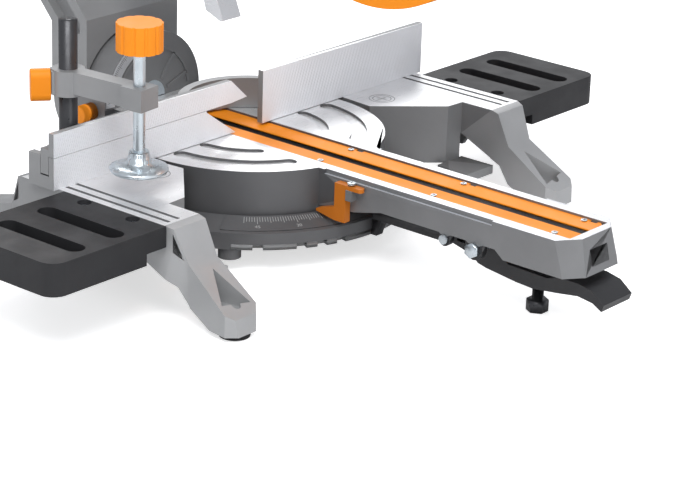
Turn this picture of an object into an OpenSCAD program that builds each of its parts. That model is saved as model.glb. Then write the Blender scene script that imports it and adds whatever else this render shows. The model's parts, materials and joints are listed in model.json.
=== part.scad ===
// Sliding compound mitre saw. Origin: turntable pivot axis on the bench; +Z up,
// +X to the right along the fence, +Y to the rear; the fence face is the plane y = 0.
// The head is shown raised, upright and part way along its rails.

/* [Base] */
// Height of the table top over the bench
table_h = 83; // [78:1:88]
// Half width of the two tables
table_half = 236; // [232:1:240]
// Reach of the tables in front of the fence
table_front = 121; // [115:1:125]
// Reach of the tables behind the fence
table_rear = 45; // [42:1:50]
// Side of the square notch in each table's front inner corner
notch_side = 34; // [30:1:36]
// Width of the front end of each table, outside the notch
table_end_w = 40; // [38:1:42]
// Wall thickness of the base casting
base_wall = 5; // [4:0.5:6]
// Height of the underside of the tables' side walls
skirt_z = 28; // [26:1:32]
// Radius of the turntable well
well_r = 123; // [122:0.5:125]
// Outer radius of the mitre scale ring
scale_r = 146; // [143:1:148]
// Height of the scale ring's outer top edge
scale_z = 36; // [34:1:38]
// Height of the scale ring's inner top edge
scale_top_z = 44; // [42:1:46]
// Underside of the base floor
floor_z = 21; // [19:1:22]
// Thickness of the base floor
floor_t = 9; // [7:1:10]
// Distance between the bench holes along X
foot_span_x = 433; // [430:1:436]
// Distance between the bench holes along Y
foot_span_y = 362; // [358:1:366]
// Radius of the bench bolt holes
bench_hole_r = 4.5; // [4:0.5:5]
// Width of a leg
leg_w = 39; // [36:1:39]
// Height of a leg's knee
knee_z = 52.5; // [50:0.5:55]
// Forward reach of a leg's knee from the table
knee_reach = 21; // [18:1:24]
// Height of the toe's upper edge
toe_z = 19.5; // [17:0.5:21]
// Thickness of the rubber feet
foot_h = 4.5; // [4:0.5:6]
// Radius of the rubber feet
foot_r = 13; // [12:0.5:14]

/* [Turntable and arm] */
// Radius of the turntable
turntable_r = 120; // [118:0.5:121]
// Gap between the turntable face and the fence above it
table_gap = 0.4; // [0.3:0.1:0.6]
// Wall of the turntable casting
turn_wall = 6; // [5:0.5:7]
// Half width of the arm
arm_half = 38.5; // [37:0.5:40]
// Reach of the arm's nose
arm_reach = 377; // [370:1:385]
// Half width of the nose's front face
nose_half = 20; // [18:1:22]
// Half width of the blade slot
slot_half = 8; // [7:0.5:9]
// Half width over the two kerf plates
kerf_half = 26; // [23:0.5:27]
// Thickness of the kerf plates
kerf_t = 2; // [1.5:0.5:3]
// Inner radius of the small arc recess
arc_r1 = 60; // [58:1:62]
// Outer radius of the small arc recess
arc_r2 = 70; // [68:1:72]
// Inner radius of the large arc recess
arc_r3 = 90; // [88:1:92]
// Outer radius of the large arc recess
arc_r4 = 104; // [102:1:106]
// Depth of the arc recesses
arc_depth = 2.5; // [2:0.5:3]
// Radius of the bevel trunnion
trunnion_r = 62; // [60:0.5:63]
// Front face of the trunnion
trunnion_y = 122; // [121:0.5:126]
// Rear face of the trunnion
trunnion_end = 181; // [178:1:181]

/* [Fence] */
// Half length of the fence
fence_half = 242; // [238:1:246]
// Height of the lower fence over the table
fence_h = 28; // [26:1:30]
// Height of the tall fences over the table
fence_top_h = 49; // [46:1:52]
// Thickness of the fence plates
fence_t = 6; // [5:0.5:6]
// Inner radius of the bridge behind the blade
bridge_r = 58; // [56:1:60]
// Thickness of the bridge
bridge_t = 8; // [6:1:9]

/* [Wings and clamp] */
// Width of a side wing
wing_w = 125; // [120:1:128]
// Thickness of a side wing
wing_t = 28; // [26:1:30]
// Front edge of the wings, from the fence face
wing_front = 123; // [120:1:125]
// Rear edge of the wings, from the fence face
wing_rear = 6; // [5:1:8]
// Distance of a clamp post socket from the end of the table
post_inset = 38; // [36:1:40]
// Distance of the sockets behind the fence face
post_y = 28; // [28:0.5:29]
// Radius of the clamp post
post_r = 8; // [7.5:0.25:8]
// Height of the clamp post's top
post_top = 216; // [212:1:220]
// Radius of the clamp spindle
spindle_r = 5; // [4.5:0.25:5.5]
// Radius of the clamp pad
pad_r = 24.5; // [22:0.5:26]
// Radius of the clamp knob
knob_r = 19.5; // [18:0.5:20]

/* [Blade and head] */
// Blade radius
blade_r = 127.5; // [125:0.5:127.5]
// Blade tooth width
blade_kerf = 2.4; // [2:0.2:2.8]
// Number of blade teeth
blade_teeth = 28; // [20:2:40]
// Blade centre in front of the fence, head raised
blade_y = 138; // [136:1:140]
// Blade centre height, head raised
blade_z = 355; // [353:1:357]
// Distance of the chop pivot behind the fence face
pivot_y = 46; // [44:1:48]
// Height of the chop pivot
pivot_z = 290; // [288:1:292]
// Radius of the slide rails
rail_r = 14; // [13:0.5:15]
// Half distance between the slide rails
rail_x = 36; // [35:0.5:37]
// Height of the slide rails
rail_z = 270; // [268:1:272]
// Rear end of the slide rails
rail_end = 450; // [450:1:470]
// Half width of the bevel arm
bevel_half = 59; // [57:0.5:60]
// Front face of the bevel arm
bevel_y = 148; // [147:0.5:150]
// Arch radius of the bevel arm
arch_r = 64.5; // [64:0.5:65]
// Motor radius
motor_r = 46; // [44:1:48]
// Right end of the motor
motor_x = 215; // [210:1:220]

/* [Hidden] */

// Overrun of every cut
over = 1;
// Running clearance of shafts in bores, on the radius
run_gap = 0.05;
// Gap between faces that slide or turn past each other
face_gap = 0.3;
// Fineness of large and small rounds
$fn = 64;

silver = [0.78, 0.79, 0.80];
grey_cast = [0.62, 0.63, 0.64];
dark_cast = [0.36, 0.37, 0.38];
orange = [0.97, 0.62, 0.16];
black = [0.12, 0.12, 0.13];
zinc = [0.75, 0.76, 0.78];

turn_top = table_h - table_gap;
notch_x = table_half - table_end_w;
notch_y = -(table_front - notch_side);
post_x = table_half - post_inset;
bench_x = foot_span_x / 2;
bench_y = foot_span_y / 2;

// Round bars and tubes along each axis
module rod_x(r, x0, x1) { translate([x0, 0, 0]) rotate([0, 90, 0]) cylinder(r = r, h = x1 - x0); }
module rod_y(r, y0, y1) { translate([0, y1, 0]) rotate([90, 0, 0]) cylinder(r = r, h = y1 - y0); }
module rod_z(r, z0, z1) { translate([0, 0, z0]) cylinder(r = r, h = z1 - z0); }
module tube_x(r, bore, x0, x1) {
    difference() {
        rod_x(r, x0, x1);
        rod_x(bore, x0 - over, x1 + over);
    }
}
module tube_y(r, bore, y0, y1) {
    difference() {
        rod_y(r, y0, y1);
        rod_y(bore, y0 - over, y1 + over);
    }
}
module tube_z(r, bore, z0, z1) {
    difference() {
        rod_z(r, z0, z1);
        rod_z(bore, z0 - over, z1 + over);
    }
}
// Outline in Y and Z drawn out along X, and in X and Z along Y
module slab_x(x0, x1) { translate([x0, 0, 0]) rotate([90, 0, 90]) linear_extrude(x1 - x0) children(); }
module slab_y(y0, y1) { translate([0, y1, 0]) rotate([90, 0, 0]) linear_extrude(y1 - y0) children(); }
module slab_z(z0, z1) { translate([0, 0, z0]) linear_extrude(z1 - z0) children(); }
module box(a, b) { translate(a) cube(b - a); }
module both_sides() {
    children();
    mirror([1, 0, 0]) children();
}

// Base values
facet_share = 4;
facet_in = [124, -35];
facet_out = [notch_x - base_wall * facet_share, notch_y + base_wall / facet_share];
well_edge_x = 127;
plug_wall = 9;
table_in_rear = 134;
rear_notch_x = 166;
rear_notch_y = 30;
groove_x = [table_half - table_end_w / 2, table_half - plug_wall];
groove_w = 3.5;
groove_d = 2;
plug_x = 150;
plug_y = -28;
plug_r = 12;
plug_d = 2;
pivot_r = 15;
hub_r = 26;
socket_r = 15;
socket_z = 38;
toe_y = bench_y + foot_r;
leg_rear_knee = 20;
leg_x0 = bench_x - leg_w / 2;
leg_x1 = bench_x + leg_w / 2;
top_t = 5;
bolt_inset = 8;
bolt_to_post = 21;
fence_bolt_x = [post_x - bolt_to_post, table_half - bolt_inset];
fence_bolt_y = 27;
fence_bolt_r = 4;
fence_bolt_len = 18;
apron_x = table_half - socket_z + 2;
apron_y = 70;
apron_facet = 40;
ledge_in = 12;
ledge_w = 34;
ring_boss_a = 55;
ring_boss_at = 134;
ring_boss_r = 10;
ring_boss_z = 10.5;

module table_outline() {
    polygon([[rear_notch_x, table_rear], [table_half, table_rear], [table_half, -table_front],
        [notch_x, -table_front],
        [notch_x, notch_y], facet_out, facet_in, [well_edge_x, 0], [table_in_rear, rear_notch_y],
            [rear_notch_x, rear_notch_y]]);
}

// One leg: a sloped web from the table's end to the toe, waisted at the knee and hollow below
brow_reach = 7.5;
brow_drop = 2;
leg_waist = 7;
hollow_y = 141;
heel = 24.5;
heel_z = 16;
shin = 11.7;
shin_z = 32;
end_rise = [41, 56, 59];
toe_pocket = [[-6.5, -31], [-15, 3], [13.5, -2]];
toe_floor = 19.7;
side_hollow = [[7, 77], [7, 61], [17, 55.5]];
side_hollow_d = 3;
module leg_plan(reach, knee, inset) {
    y0 = reach - 2 * base_wall;
    polygon([[notch_x + inset, y0], [table_half - inset, y0], [table_half - inset, reach],
        [table_half - leg_waist - inset, reach + knee], [leg_x1 - inset, toe_y + over],
        [leg_x0 + inset, toe_y + over], [notch_x + inset, reach]]);
}
module leg(reach, knee) {
    y0 = reach - base_wall - over;
    low = knee_z - 2 * base_wall;
    difference() {
        intersection() {
            slab_x(notch_x - leg_w, table_half + leg_w) polygon([[y0, table_h], [reach, table_h],
                [reach + brow_reach, table_h - brow_drop], [reach + knee, knee_z], [toe_y - over, toe_z],
                [toe_y + over, foot_h], [bench_y - foot_r, foot_h], [bench_y - foot_r - heel, heel_z],
                [reach + shin, shin_z], [reach, shin_z + base_wall], [y0, shin_z + base_wall]]);
            slab_z(0, table_h + over) leg_plan(reach, knee, 0);
        }
        intersection() {
            slab_x(notch_x - leg_w, table_half + leg_w) polygon([[y0 - over, skirt_z - over],
                [reach, skirt_z - over], [hollow_y, foot_h - over], [hollow_y, low / 2 + toe_z / 2],
                [reach + knee - base_wall, low], [y0 - over, low]]);
            slab_z(0, table_h) leg_plan(reach, knee, base_wall);
        }
        for (x = [leg_x0, leg_x1])
            translate([x, toe_y + over, 0]) rotate(45)
                cube([foot_r, foot_r, 3 * table_h], center = true);
        translate([bench_x, bench_y, 0]) rod_z(bench_hole_r, -over, table_h);
        translate([bench_x, bench_y, 0]) slab_z(toe_floor, table_h) polygon(toe_pocket);
        slab_x(table_half - leg_waist - side_hollow_d + over, table_half + over)
            polygon([for (p = side_hollow)
            [reach + p[0], p[1]]]);
    }
}

// A right-hand table with its boss, pockets, grooves and bolt holes
module table_side() {
    difference() {
        union() {
            slab_z(skirt_z, table_h) table_outline();
            mirror([0, 1, 0]) leg(table_front, knee_reach);
            leg(table_rear, leg_rear_knee);
        }
        rod_z(well_r, floor_z, table_h + over);
        // The end's lower edge rises towards the wing
        slab_x(notch_x - over, table_half + over) polygon([[-table_front - over, skirt_z - over],
            [-table_front - over, shin_z + base_wall], [-table_front + end_rise[0], end_rise[1]],
            [-table_front + end_rise[2], skirt_z - over]]);
        // Open underside, in two pockets with a rib between them
        box([notch_x + base_wall, -table_front + base_wall, skirt_z - over],
            [table_half - base_wall, post_y - socket_r - base_wall, table_h - top_t]);
        slab_z(skirt_z - over, table_h - top_t) polygon([[notch_x, post_y - socket_r - base_wall],
            [notch_x, notch_y + base_wall], [facet_out[0] + base_wall, notch_y + base_wall],
            [table_in_rear + base_wall, facet_in[1] + base_wall],
            [table_in_rear + base_wall, post_y - socket_r - base_wall]]);
        for (x = groove_x)
            box([x - groove_w / 2, -table_front + groove_w, table_h - groove_d],
                [x + groove_w / 2, 0, table_h + over]);
        translate([plug_x, plug_y, 0]) rod_z(plug_r, table_h - plug_d, table_h + over);
        for (x = fence_bolt_x)
            translate([x, fence_bolt_y, 0]) rod_z(fence_bolt_r, table_h - fence_bolt_len, table_h + over);
        translate([post_x, post_y, 0]) rod_z(post_r + run_gap, socket_z, table_h + over);
    }
}

module base_casting() {
    color(grey_cast) {
        both_sides() table_side();
        difference() {
            union() {
                slab_z(floor_z, floor_z + floor_t) polygon([for (s = [-1, 1], p = s < 0 ?
                    [[apron_x, table_rear], [apron_x, -apron_y + apron_facet],
                        [apron_x - apron_facet, -apron_y]] :
                    [[apron_x - apron_facet, -apron_y], [apron_x, -apron_y + apron_facet],
                        [apron_x, table_rear]])
                    [-s * p[0], p[1]]]);
                rotate_extrude($fn = 128) polygon([[0, floor_z], [scale_r, floor_z], [scale_r, scale_z],
                    [well_r, scale_top_z], [well_r, floor_z + floor_t], [0, floor_z + floor_t]]);
                rod_z(hub_r, floor_z - floor_t, floor_z + floor_t);
                // Ledges in the notches of the tables and bosses under the ring
                both_sides() {
                    slab_z(floor_z, skirt_z + over) polygon([[facet_out[0] - ledge_in, notch_y + over],
                        [notch_x + base_wall - over, notch_y + over],
                            [notch_x + base_wall - over, -table_front - 2 * over],
                        [notch_x - ledge_w, -table_front - 2 * over],
                            [facet_out[0] - ledge_in, notch_y - ledge_in]]);
                    rotate(ring_boss_a - 90) translate([ring_boss_at, 0, 0])
                        rod_z(ring_boss_r, ring_boss_z, floor_z + over);
                }
            }
            rod_z(pivot_r + run_gap, 0, table_h);
            detent_blank(over, over);
            for (s = [-1, 1])
                translate([s * post_x, post_y, 0]) rod_z(post_r + run_gap, socket_z, table_h);
        }
    }
}

module rubber_feet() {
    color(black) for (x = [-bench_x, bench_x], y = [-bench_y, bench_y])
        translate([x, y, 0]) tube_z(foot_r, bench_hole_r, 0, foot_h);
}

// Scale band on the sloped face of the ring
scale_band_t = 0.8;
scale_share = [0.12, 0.86];
scale_half_angle = 58;
module mitre_scale() {
    function on_face(s, up) = [well_r + s * (scale_r - well_r),
        scale_top_z + s * (scale_z - scale_top_z) + up];
    color(grey_cast) rotate([0, 0, -90 - scale_half_angle])
        rotate_extrude(angle = 2 * scale_half_angle, $fn = 128)
            polygon([on_face(scale_share[0], run_gap), on_face(scale_share[1], run_gap),
                on_face(scale_share[1], scale_band_t), on_face(scale_share[0], scale_band_t)]);
}

// Detent plate under the ring, notched at the usual cutting angles
detent_angles = [-45, -30, -22.5, -15, 0, 15, 22.5, 30, 45];
detent_half = 54;
detent_t = 5;
detent_w = 18;
detent_notch_w = 9;
detent_notch_d = 6;
module detent_blank(below, outside) {
    rotate([0, 0, -90 - detent_half]) rotate_extrude(angle = 2 * detent_half, $fn = 128)
        translate([scale_r - detent_w, floor_z - below]) square([detent_w + outside, detent_t + below]);
}
module detent_plate() {
    color(grey_cast) difference() {
        detent_blank(0, 0);
        for (a = detent_angles) rotate([0, 0, a])
            box([-detent_notch_w / 2, -scale_r - over, floor_z - over],
                [detent_notch_w / 2, -scale_r + detent_notch_d, floor_z + detent_t + over]);
    }
}

// Round plugs set flush in the tables
plug_slot = 2;
module table_plugs() {
    color(silver) both_sides() translate([plug_x, plug_y, table_h - plug_d]) difference() {
        cylinder(r = plug_r, h = plug_d);
        translate([0, 0, plug_d]) cube([plug_r, plug_slot, plug_d], center = true);
        translate([0, 0, plug_d]) cube([plug_slot, plug_r, plug_d], center = true);
    }
}

// Wings: moulded blocks with two long recesses and two screw holes
wing_x0 = table_half;
wing_x1 = table_half + wing_w;
wing_corner = 14;
wing_screw_x = wing_x0 + 7;
wing_screw_ys = [-37, -92];
wing_screw_r = 2.5;
wing_head_r = 6;
wing_head_d = 8;
wing_slot_xs = [wing_x0 + 42, wing_x0 + 85];
wing_slot_w = 17;
wing_slot_y0 = -114;
wing_slot_y1 = -22;
wing_slot_d = 14;
wing_wall = 3;
wing_step = 22;
wing_step_z = 10;
tab_t = 12;
module slot_outline(x, w, y0, y1) {
    translate([x, y0 + w / 2]) circle(r = w / 2, $fn = 32);
    translate([x, y1 - w / 2]) circle(r = w / 2, $fn = 32);
    translate([x - w / 2, y0 + w / 2]) square([w, y1 - y0 - w]);
}
module wing() {
    difference() {
        slab_z(table_h - wing_t, table_h) difference() {
            translate([wing_x0, -wing_front]) square([wing_w, wing_front - wing_rear]);
            for (y = [-wing_front, -wing_rear]) translate([wing_x1, y])
                difference() {
                    square(2 * wing_corner, center = true);
                    translate([-wing_corner, y < -wing_front / 2 ? wing_corner : -wing_corner])
                        circle(r = wing_corner, $fn = 48);
                }
        }
        // Open underside, stepped up beside the table
        box([wing_x0 + wing_wall, -wing_front + wing_wall, table_h - wing_t - over],
            [wing_x0 + wing_step, -wing_rear - wing_wall, table_h - tab_t]);
        box([wing_x0 - over, -wing_front - over, table_h - wing_t - over],
            [wing_x0 + wing_step, -wing_rear + over, table_h - wing_t + wing_step_z]);
        for (x = wing_slot_xs) slab_z(table_h - wing_slot_d, table_h + over)
            slot_outline(x, wing_slot_w, wing_slot_y0, wing_slot_y1);
        for (y = wing_screw_ys) translate([wing_screw_x, y, 0]) {
            rod_z(wing_screw_r, table_h - wing_t - over, table_h + over);
            rod_z(wing_head_r, table_h - wing_head_d, table_h + over);
        }
        // Hollow below, between the recess floors and the outer wall
        for (x0 = [wing_slot_xs[0] + wing_slot_w / 2 + wing_wall])
            box([x0, -wing_front + wing_wall, table_h - wing_t - over],
                [wing_slot_xs[1] - wing_slot_w / 2 - wing_wall, -wing_rear - wing_wall,
                    table_h - wing_wall]);
    }
}
module wing_right() { color(black) wing(); }
module wing_left() { color(black) mirror([1, 0, 0]) wing(); }

// Wing screws: heads sunk in the wing, shanks down into tabs of the wing's step
screw_head_h = 4;
module wing_screws() {
    color(zinc) both_sides() for (y = wing_screw_ys) translate([wing_screw_x, y, 0]) {
        rod_z(wing_head_r - face_gap, table_h - wing_head_d, table_h - wing_head_d + screw_head_h);
        rod_z(wing_screw_r, table_h - tab_t, table_h - wing_head_d + over / 2);
    }
}

// Lower fence: two rails joined behind the blade, the right one tall
fence_in_left = 20;
fence_slope = 40;
fence_in_right = 15;
channel_y0 = fence_t;
channel_y1 = 16;
channel_floor = 11;
fence_back = 18.4;
block_y = 30;
lug_w = 22;
lug_t = 8;
bridge_h = 28;
block_front = 16;
well_r2 = 7.5;
lock_x = -80;
lock_r = 4;
gusset_xs = [78, 128, 208];
gusset_t = 6;
module lower_fence() {
    top = table_h + fence_h;
    tall = table_h + fence_top_h;
    color(silver) difference() {
        union() {
            // Left rail with the channel for the sliding fence
            slab_y(0, fence_t) polygon([[-fence_half, table_h], [-fence_in_left, table_h],
                [-fence_in_left - fence_slope, top], [-fence_half, top]]);
            box([-fence_half, 0, table_h], [-bridge_r, fence_back, table_h + channel_floor]);
            box([-fence_half, channel_y1, table_h], [-bridge_r, fence_back, top]);
            // Tall right rail with a foot and gussets
            slab_y(0, fence_t) polygon([[fence_in_right, table_h], [fence_half, table_h],
                [fence_half, tall], [fence_in_right, tall]]);
            box([bridge_r, 0, table_h], [fence_half, fence_back, table_h + lug_t]);
            for (x = gusset_xs) slab_x(x - gusset_t / 2, x + gusset_t / 2)
                polygon([[0, table_h], [fence_back, table_h], [fence_back, table_h + lug_t],
                    [fence_t, tall - gusset_t], [0, tall - gusset_t]]);
            // Bolt lugs and end blocks
            both_sides() {
                box([fence_bolt_x[0] - lug_w / 2, 0, table_h],
                    [fence_bolt_x[0] + lug_w / 2, block_y + lug_t / 2, table_h + lug_t]);
            }
            box([fence_bolt_x[1] - block_front, 0, table_h], [fence_half, block_y, top]);
            box([-fence_half, channel_y1, table_h], [-fence_bolt_x[1] + block_front, block_y, top]);
            box([-fence_half, 0, table_h], [-fence_bolt_x[1] + block_front, block_y,
                table_h + channel_floor]);
            // Bridge behind the blade
            intersection() {
                tube_z(bridge_r + bridge_t, bridge_r, table_h, table_h + bridge_h);
                box([-2 * bridge_r, 0, 0], [2 * bridge_r, 2 * bridge_r, 2 * table_h]);
            }
        }
        for (x = fence_bolt_x, s = [-1, 1]) translate([s * x, fence_bolt_y, 0])
            rod_z(fence_bolt_r + face_gap, table_h - over, table_h + lug_t + over);
        translate([lock_x, 0, table_h + fence_h / 2 + channel_floor / 2])
            rod_y(lock_r + run_gap, channel_y1 - over, fence_back + over);
        // The bridge's bore stays open across the table
        rod_z(bridge_r, table_h + channel_floor, tall + over);
        // Wells over the end bolts
        both_sides() translate([fence_bolt_x[1],
            fence_bolt_y, 0]) rod_z(well_r2, table_h + lug_t, top + over);
    }
    color(silver) {
        slab_y(0, fence_t) polygon([[-fence_in_left, table_h], [-fence_in_left - fence_slope, top],
            [-bridge_r - bridge_t, top], [-bridge_r - bridge_t, table_h]]);
        box([fence_in_right, 0, table_h], [bridge_r + bridge_t, fence_t, tall]);
    }
}

module fence_bolts() {
    head_r = 7;
    head_h = 5;
    color(zinc) for (x = fence_bolt_x, s = [-1, 1]) translate([s * x, fence_bolt_y, 0]) {
        rod_z(fence_bolt_r, table_h - fence_bolt_len, table_h + lug_t);
        rod_z(head_r, table_h + lug_t, table_h + lug_t + head_h);
    }
}

// Upper left fence, with a tongue that runs in the lower fence's channel
nose_in = 6;
nose_back = 20;
nose_drop = 19;
tongue_depth = 16;
module sliding_fence() {
    z0 = table_h + fence_h + face_gap;
    z1 = table_h + fence_top_h;
    y0 = channel_y0 + face_gap;
    y1 = channel_y1 - face_gap;
    color(silver) {
        slab_y(0, fence_t) polygon([[-fence_half, z0], [-nose_in - nose_back, z0],
            [-nose_in, z1 - nose_drop],
            [-nose_in - nose_back - over, z1], [-fence_half, z1]]);
        slab_x(-fence_half, -bridge_r - bridge_t - channel_floor) polygon([[0, z0], [y0, z0],
            [y0, z0 - tongue_depth],
            [y1, z0 - tongue_depth], [y1, z0 + fence_t], [0, z0 + fence_t]]);
    }
}

// Knob that locks the sliding fence in its channel
lock_knob_r = 11;
knob_flutes = 8;
clamp_flutes = 12;
flute_d = 2;
lock_knob_t = 16;
module flutes(r, n, depth, z0, z1) {
    for (i = [0:n - 1]) rotate(i * 360 / n) translate([r, 0, z0])
        cylinder(r = depth, h = z1 - z0, $fn = 24);
}
module fluted_knob(r, h, n, depth) {
    difference() {
        cylinder(r = r, h = h);
        flutes(r + depth / 2, n, depth, -over, h + over);
    }
}
module fence_lock_knob() {
    z = table_h + fence_h / 2 + channel_floor / 2;
    color(orange) translate([lock_x, fence_back + face_gap, z]) rotate([-90, 0, 0])
        fluted_knob(lock_knob_r, lock_knob_t, knob_flutes, flute_d);
    color(zinc) translate([lock_x, 0, z]) rod_y(lock_r, channel_y1, fence_back + 2 * face_gap);
}

// Turntable values
drum_z = floor_z + floor_t;
arm_top_t = 8;
arm_root = 100;
arm_root_z = 48;
arm_flat = [183, 59];
arm_web_z = 52;
step_in = 73;
step_len = 9;
arm_step = [arm_reach - step_in, arm_reach - step_in + step_len, arm_web_z];
nose_lean = 14;
nose_turn = 37;
nose_window = [12, 58, 72];
ledge_t = 4;
ledge_side = 2.5;
ledge_end = arm_reach - step_in - ledge_t;
tail_half = 50;
tail_z = 47;
kerf_sink = 1.8;
plate_z = turn_top - kerf_sink - kerf_t;
slot_rear = 62;
kerf_end = 8;
screw_end = 27;
kerf_front = arm_reach - kerf_end;
screw_x = 20.5;
screw_ys = [arm_root, (arm_root + arm_reach - screw_end) / 2, arm_reach - screw_end];
kerf_screw_r = 2;
pivot_nut_r = 22;
bevel_axis_z = table_h;
pin_r = 10;
pin_cap_r = 16;
pin_cap_t = 5;
lock_arc_r = 42;
lock_bolt_r = 5;
lock_angle = -30;
nose_to_bolt = 94;
lever_bolt_y = arm_reach - nose_to_bolt;
lever_bolt_z = 53;
lug_r = 9;
lever_bolt_r = 4;
nose_to_detent = 125;
detent_bolt_y = arm_reach - nose_to_detent;
detent_bolt_z = 54;
detent_bolt_r = 2.5;
detent_eye_r = 6;
detent_in = 20;
detent_body = [detent_bolt_y - detent_in, scale_r + 2 * detent_eye_r];
detent_body_half = 18;
detent_body_z = [42, 56];
detent_body_in = 28;
nose_to_tip = 54;
tip_y = arm_reach - nose_to_tip;
tip_r = 4.9;
tip_boss_r = 11;
tip_boss_z = 43;
slot_floor = turn_top - 2 * arm_top_t;
pointer_y = 153.8;
stop_y = 138;
stop_z = 80;
stop_r = 4;
stop_in = 32;

module arm_side() {
    reach = arm_reach + arm_top_t;
    polygon([[-arm_root, arm_root_z], [-scale_r - arm_top_t, arm_web_z], [-arm_flat[0], arm_flat[1]],
        [-arm_step[0], arm_flat[1]], [-arm_step[1], arm_step[2]], [-reach, arm_step[2]],
            [-reach, turn_top], [-arm_root, turn_top]]);
}
// Everything in front of the nose's leaning face and its two facets
module nose_cuts(inset) {
    translate([0, -arm_reach, turn_top]) {
        rotate([-nose_lean, 0, 0]) box([-2 * arm_half, -arm_half, -table_h],
            [2 * arm_half, inset, table_h]);
        for (s = [-1, 1]) translate([s * nose_half, 0, 0]) rotate([0, 0, s * nose_turn])
            rotate([-nose_lean, 0, 0])
            box([-2 * arm_half, -arm_half, -table_h], [2 * arm_half, inset, table_h]);
    }
}

module arc_recess(r_in, r_out) {
    mid = (r_in + r_out) / 2;
    half = (r_out - r_in) / 2;
    a0 = asin((arm_half + half) / mid);
    a1 = 90 - asin(half / mid);
    both_sides() {
        rotate(-90 + a0) rotate_extrude(angle = a1 - a0, $fn = 128)
            translate([r_in, turn_top - arc_depth]) square([r_out - r_in, arc_depth + over]);
        for (a = [a0, a1]) rotate(a - 90) translate([mid, 0, 0])
            rod_z(half - run_gap, turn_top - arc_depth, turn_top + over);
    }
}

module turntable() {
    color(grey_cast) difference() {
        union() {
            difference() {
                union() {
                    rod_z(turntable_r, drum_z + face_gap, turn_top, $fn = 128);
                    difference() {
                        slab_x(-arm_half, arm_half) arm_side();
                        nose_cuts(0);
                    }
                    box([-tail_half, arm_root, tail_z], [tail_half, trunnion_end, turn_top]);
                }
                // Hollow drum, arm and tail, open below
                difference() {
                    rod_z(turntable_r - turn_wall, drum_z - over, turn_top - arm_top_t);
                    rod_z(hub_r, 0, table_h);
                    both_sides() box([arm_half - turn_wall, -turntable_r, 0], [arm_half, -hub_r, table_h]);
                    for (a = [30, 150, 210, 330]) rotate(a) box([0, -turn_wall / 2, 0],
                        [turntable_r, turn_wall / 2, table_h]);
                }
                difference() {
                    box([-arm_half + turn_wall, -arm_reach - arm_top_t, 0],
                        [arm_half - turn_wall, -arm_root, turn_top - arm_top_t]);
                    nose_cuts(turn_wall);
                }
                box([-tail_half + turn_wall, arm_root, tail_z - over],
                    [tail_half - turn_wall, trunnion_end - turn_wall, turn_top - arm_top_t]);
            }
            // Pointer boss, pivot journal, anti-tip boss and trunnion
            box([-arm_half - boss_out, -boss_y[0], boss_z0], [-arm_half + over, -boss_y[1],
                pointer_top - pointer_t - face_gap]);
            rod_z(pivot_r, floor_z - floor_t - face_gap, drum_z + turn_wall);
            translate([0, -tip_y, 0]) rod_z(tip_boss_r, tip_boss_z, slot_floor);
            box([-arm_half + turn_wall, -tip_y - turn_wall / 2, tip_boss_z + arm_top_t],
                [arm_half - turn_wall, -tip_y + turn_wall / 2, slot_floor]);
            intersection() {
                translate([0, 0, bevel_axis_z]) rod_y(trunnion_r, trunnion_y, trunnion_end);
                box([-trunnion_r, trunnion_y, tail_z],
                    [trunnion_r, trunnion_end, bevel_axis_z + trunnion_r]);
            }
            both_sides() for (p = [[lever_bolt_y, lever_bolt_z, lug_r],
                [detent_bolt_y, detent_bolt_z, detent_eye_r]]) {
                translate([0, -p[0], p[1]]) rod_x(p[2], arm_half - turn_wall, arm_half);
                box([arm_half - turn_wall, -p[0] - p[2], p[1]], [arm_half, -p[0] + p[2],
                    turn_top - arm_top_t]);
            }
        }
        // Blade slot and the recess for the kerf plates
        box([-slot_half, -kerf_front, slot_floor], [slot_half, slot_rear, table_h + over]);
        box([-kerf_half - face_gap, -kerf_front - face_gap, plate_z],
            [kerf_half + face_gap, slot_rear + face_gap, table_h + over]);
        arc_recess(arc_r1, arc_r2);
        arc_recess(arc_r3, arc_r4);
        // Ledge along the arm's top edges and the window in its nose
        both_sides() box([arm_half - ledge_side, -ledge_end, turn_top - ledge_t],
            [arm_half + over, -turntable_r, table_h]);
        box([-nose_window[0], -arm_reach - arm_half, nose_window[1]], [nose_window[0],
            -arm_reach + 2 * turn_wall, nose_window[2]]);
        for (s = [-1, 1], y = screw_ys) translate([s * screw_x, -y, 0])
            rod_z(kerf_screw_r, plate_z - arm_top_t, table_h);
        translate([0, 0, bevel_axis_z]) rod_y(pin_r + run_gap, trunnion_y - over, trunnion_end + over);
        translate([0, 0, bevel_axis_z]) rod_y(pin_cap_r + face_gap, trunnion_y - over,
            trunnion_y + pin_cap_t + face_gap);
        translate([0, 0, bevel_axis_z]) rotate([0, -lock_angle, 0]) translate([lock_arc_r, 0, 0])
            rod_y(lock_bolt_r + run_gap, trunnion_end - 4 * turn_wall, trunnion_end + over);
        translate([0, stop_y, stop_z]) rod_x(stop_r + run_gap, -trunnion_r - over,
            -stop_in + turn_wall / 2);
        translate([0, -tip_y, 0]) rod_z(tip_r + run_gap, 0, slot_floor + over);
        translate([0, -lever_bolt_y, lever_bolt_z]) rod_x(lever_bolt_r, -arm_half - over, arm_half + over);
        translate([0, -detent_bolt_y, detent_bolt_z])
            rod_x(detent_bolt_r, -arm_half - over, arm_half + over);
        translate([-arm_half - face_gap - pointer_w / 2, -pointer_y, 0])
            rod_z(kerf_screw_r, boss_z0 + over, table_h);
        // Bolt hole up the pivot journal
        rod_z(lever_bolt_r, 0, drum_z + over);
    }
}

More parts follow.
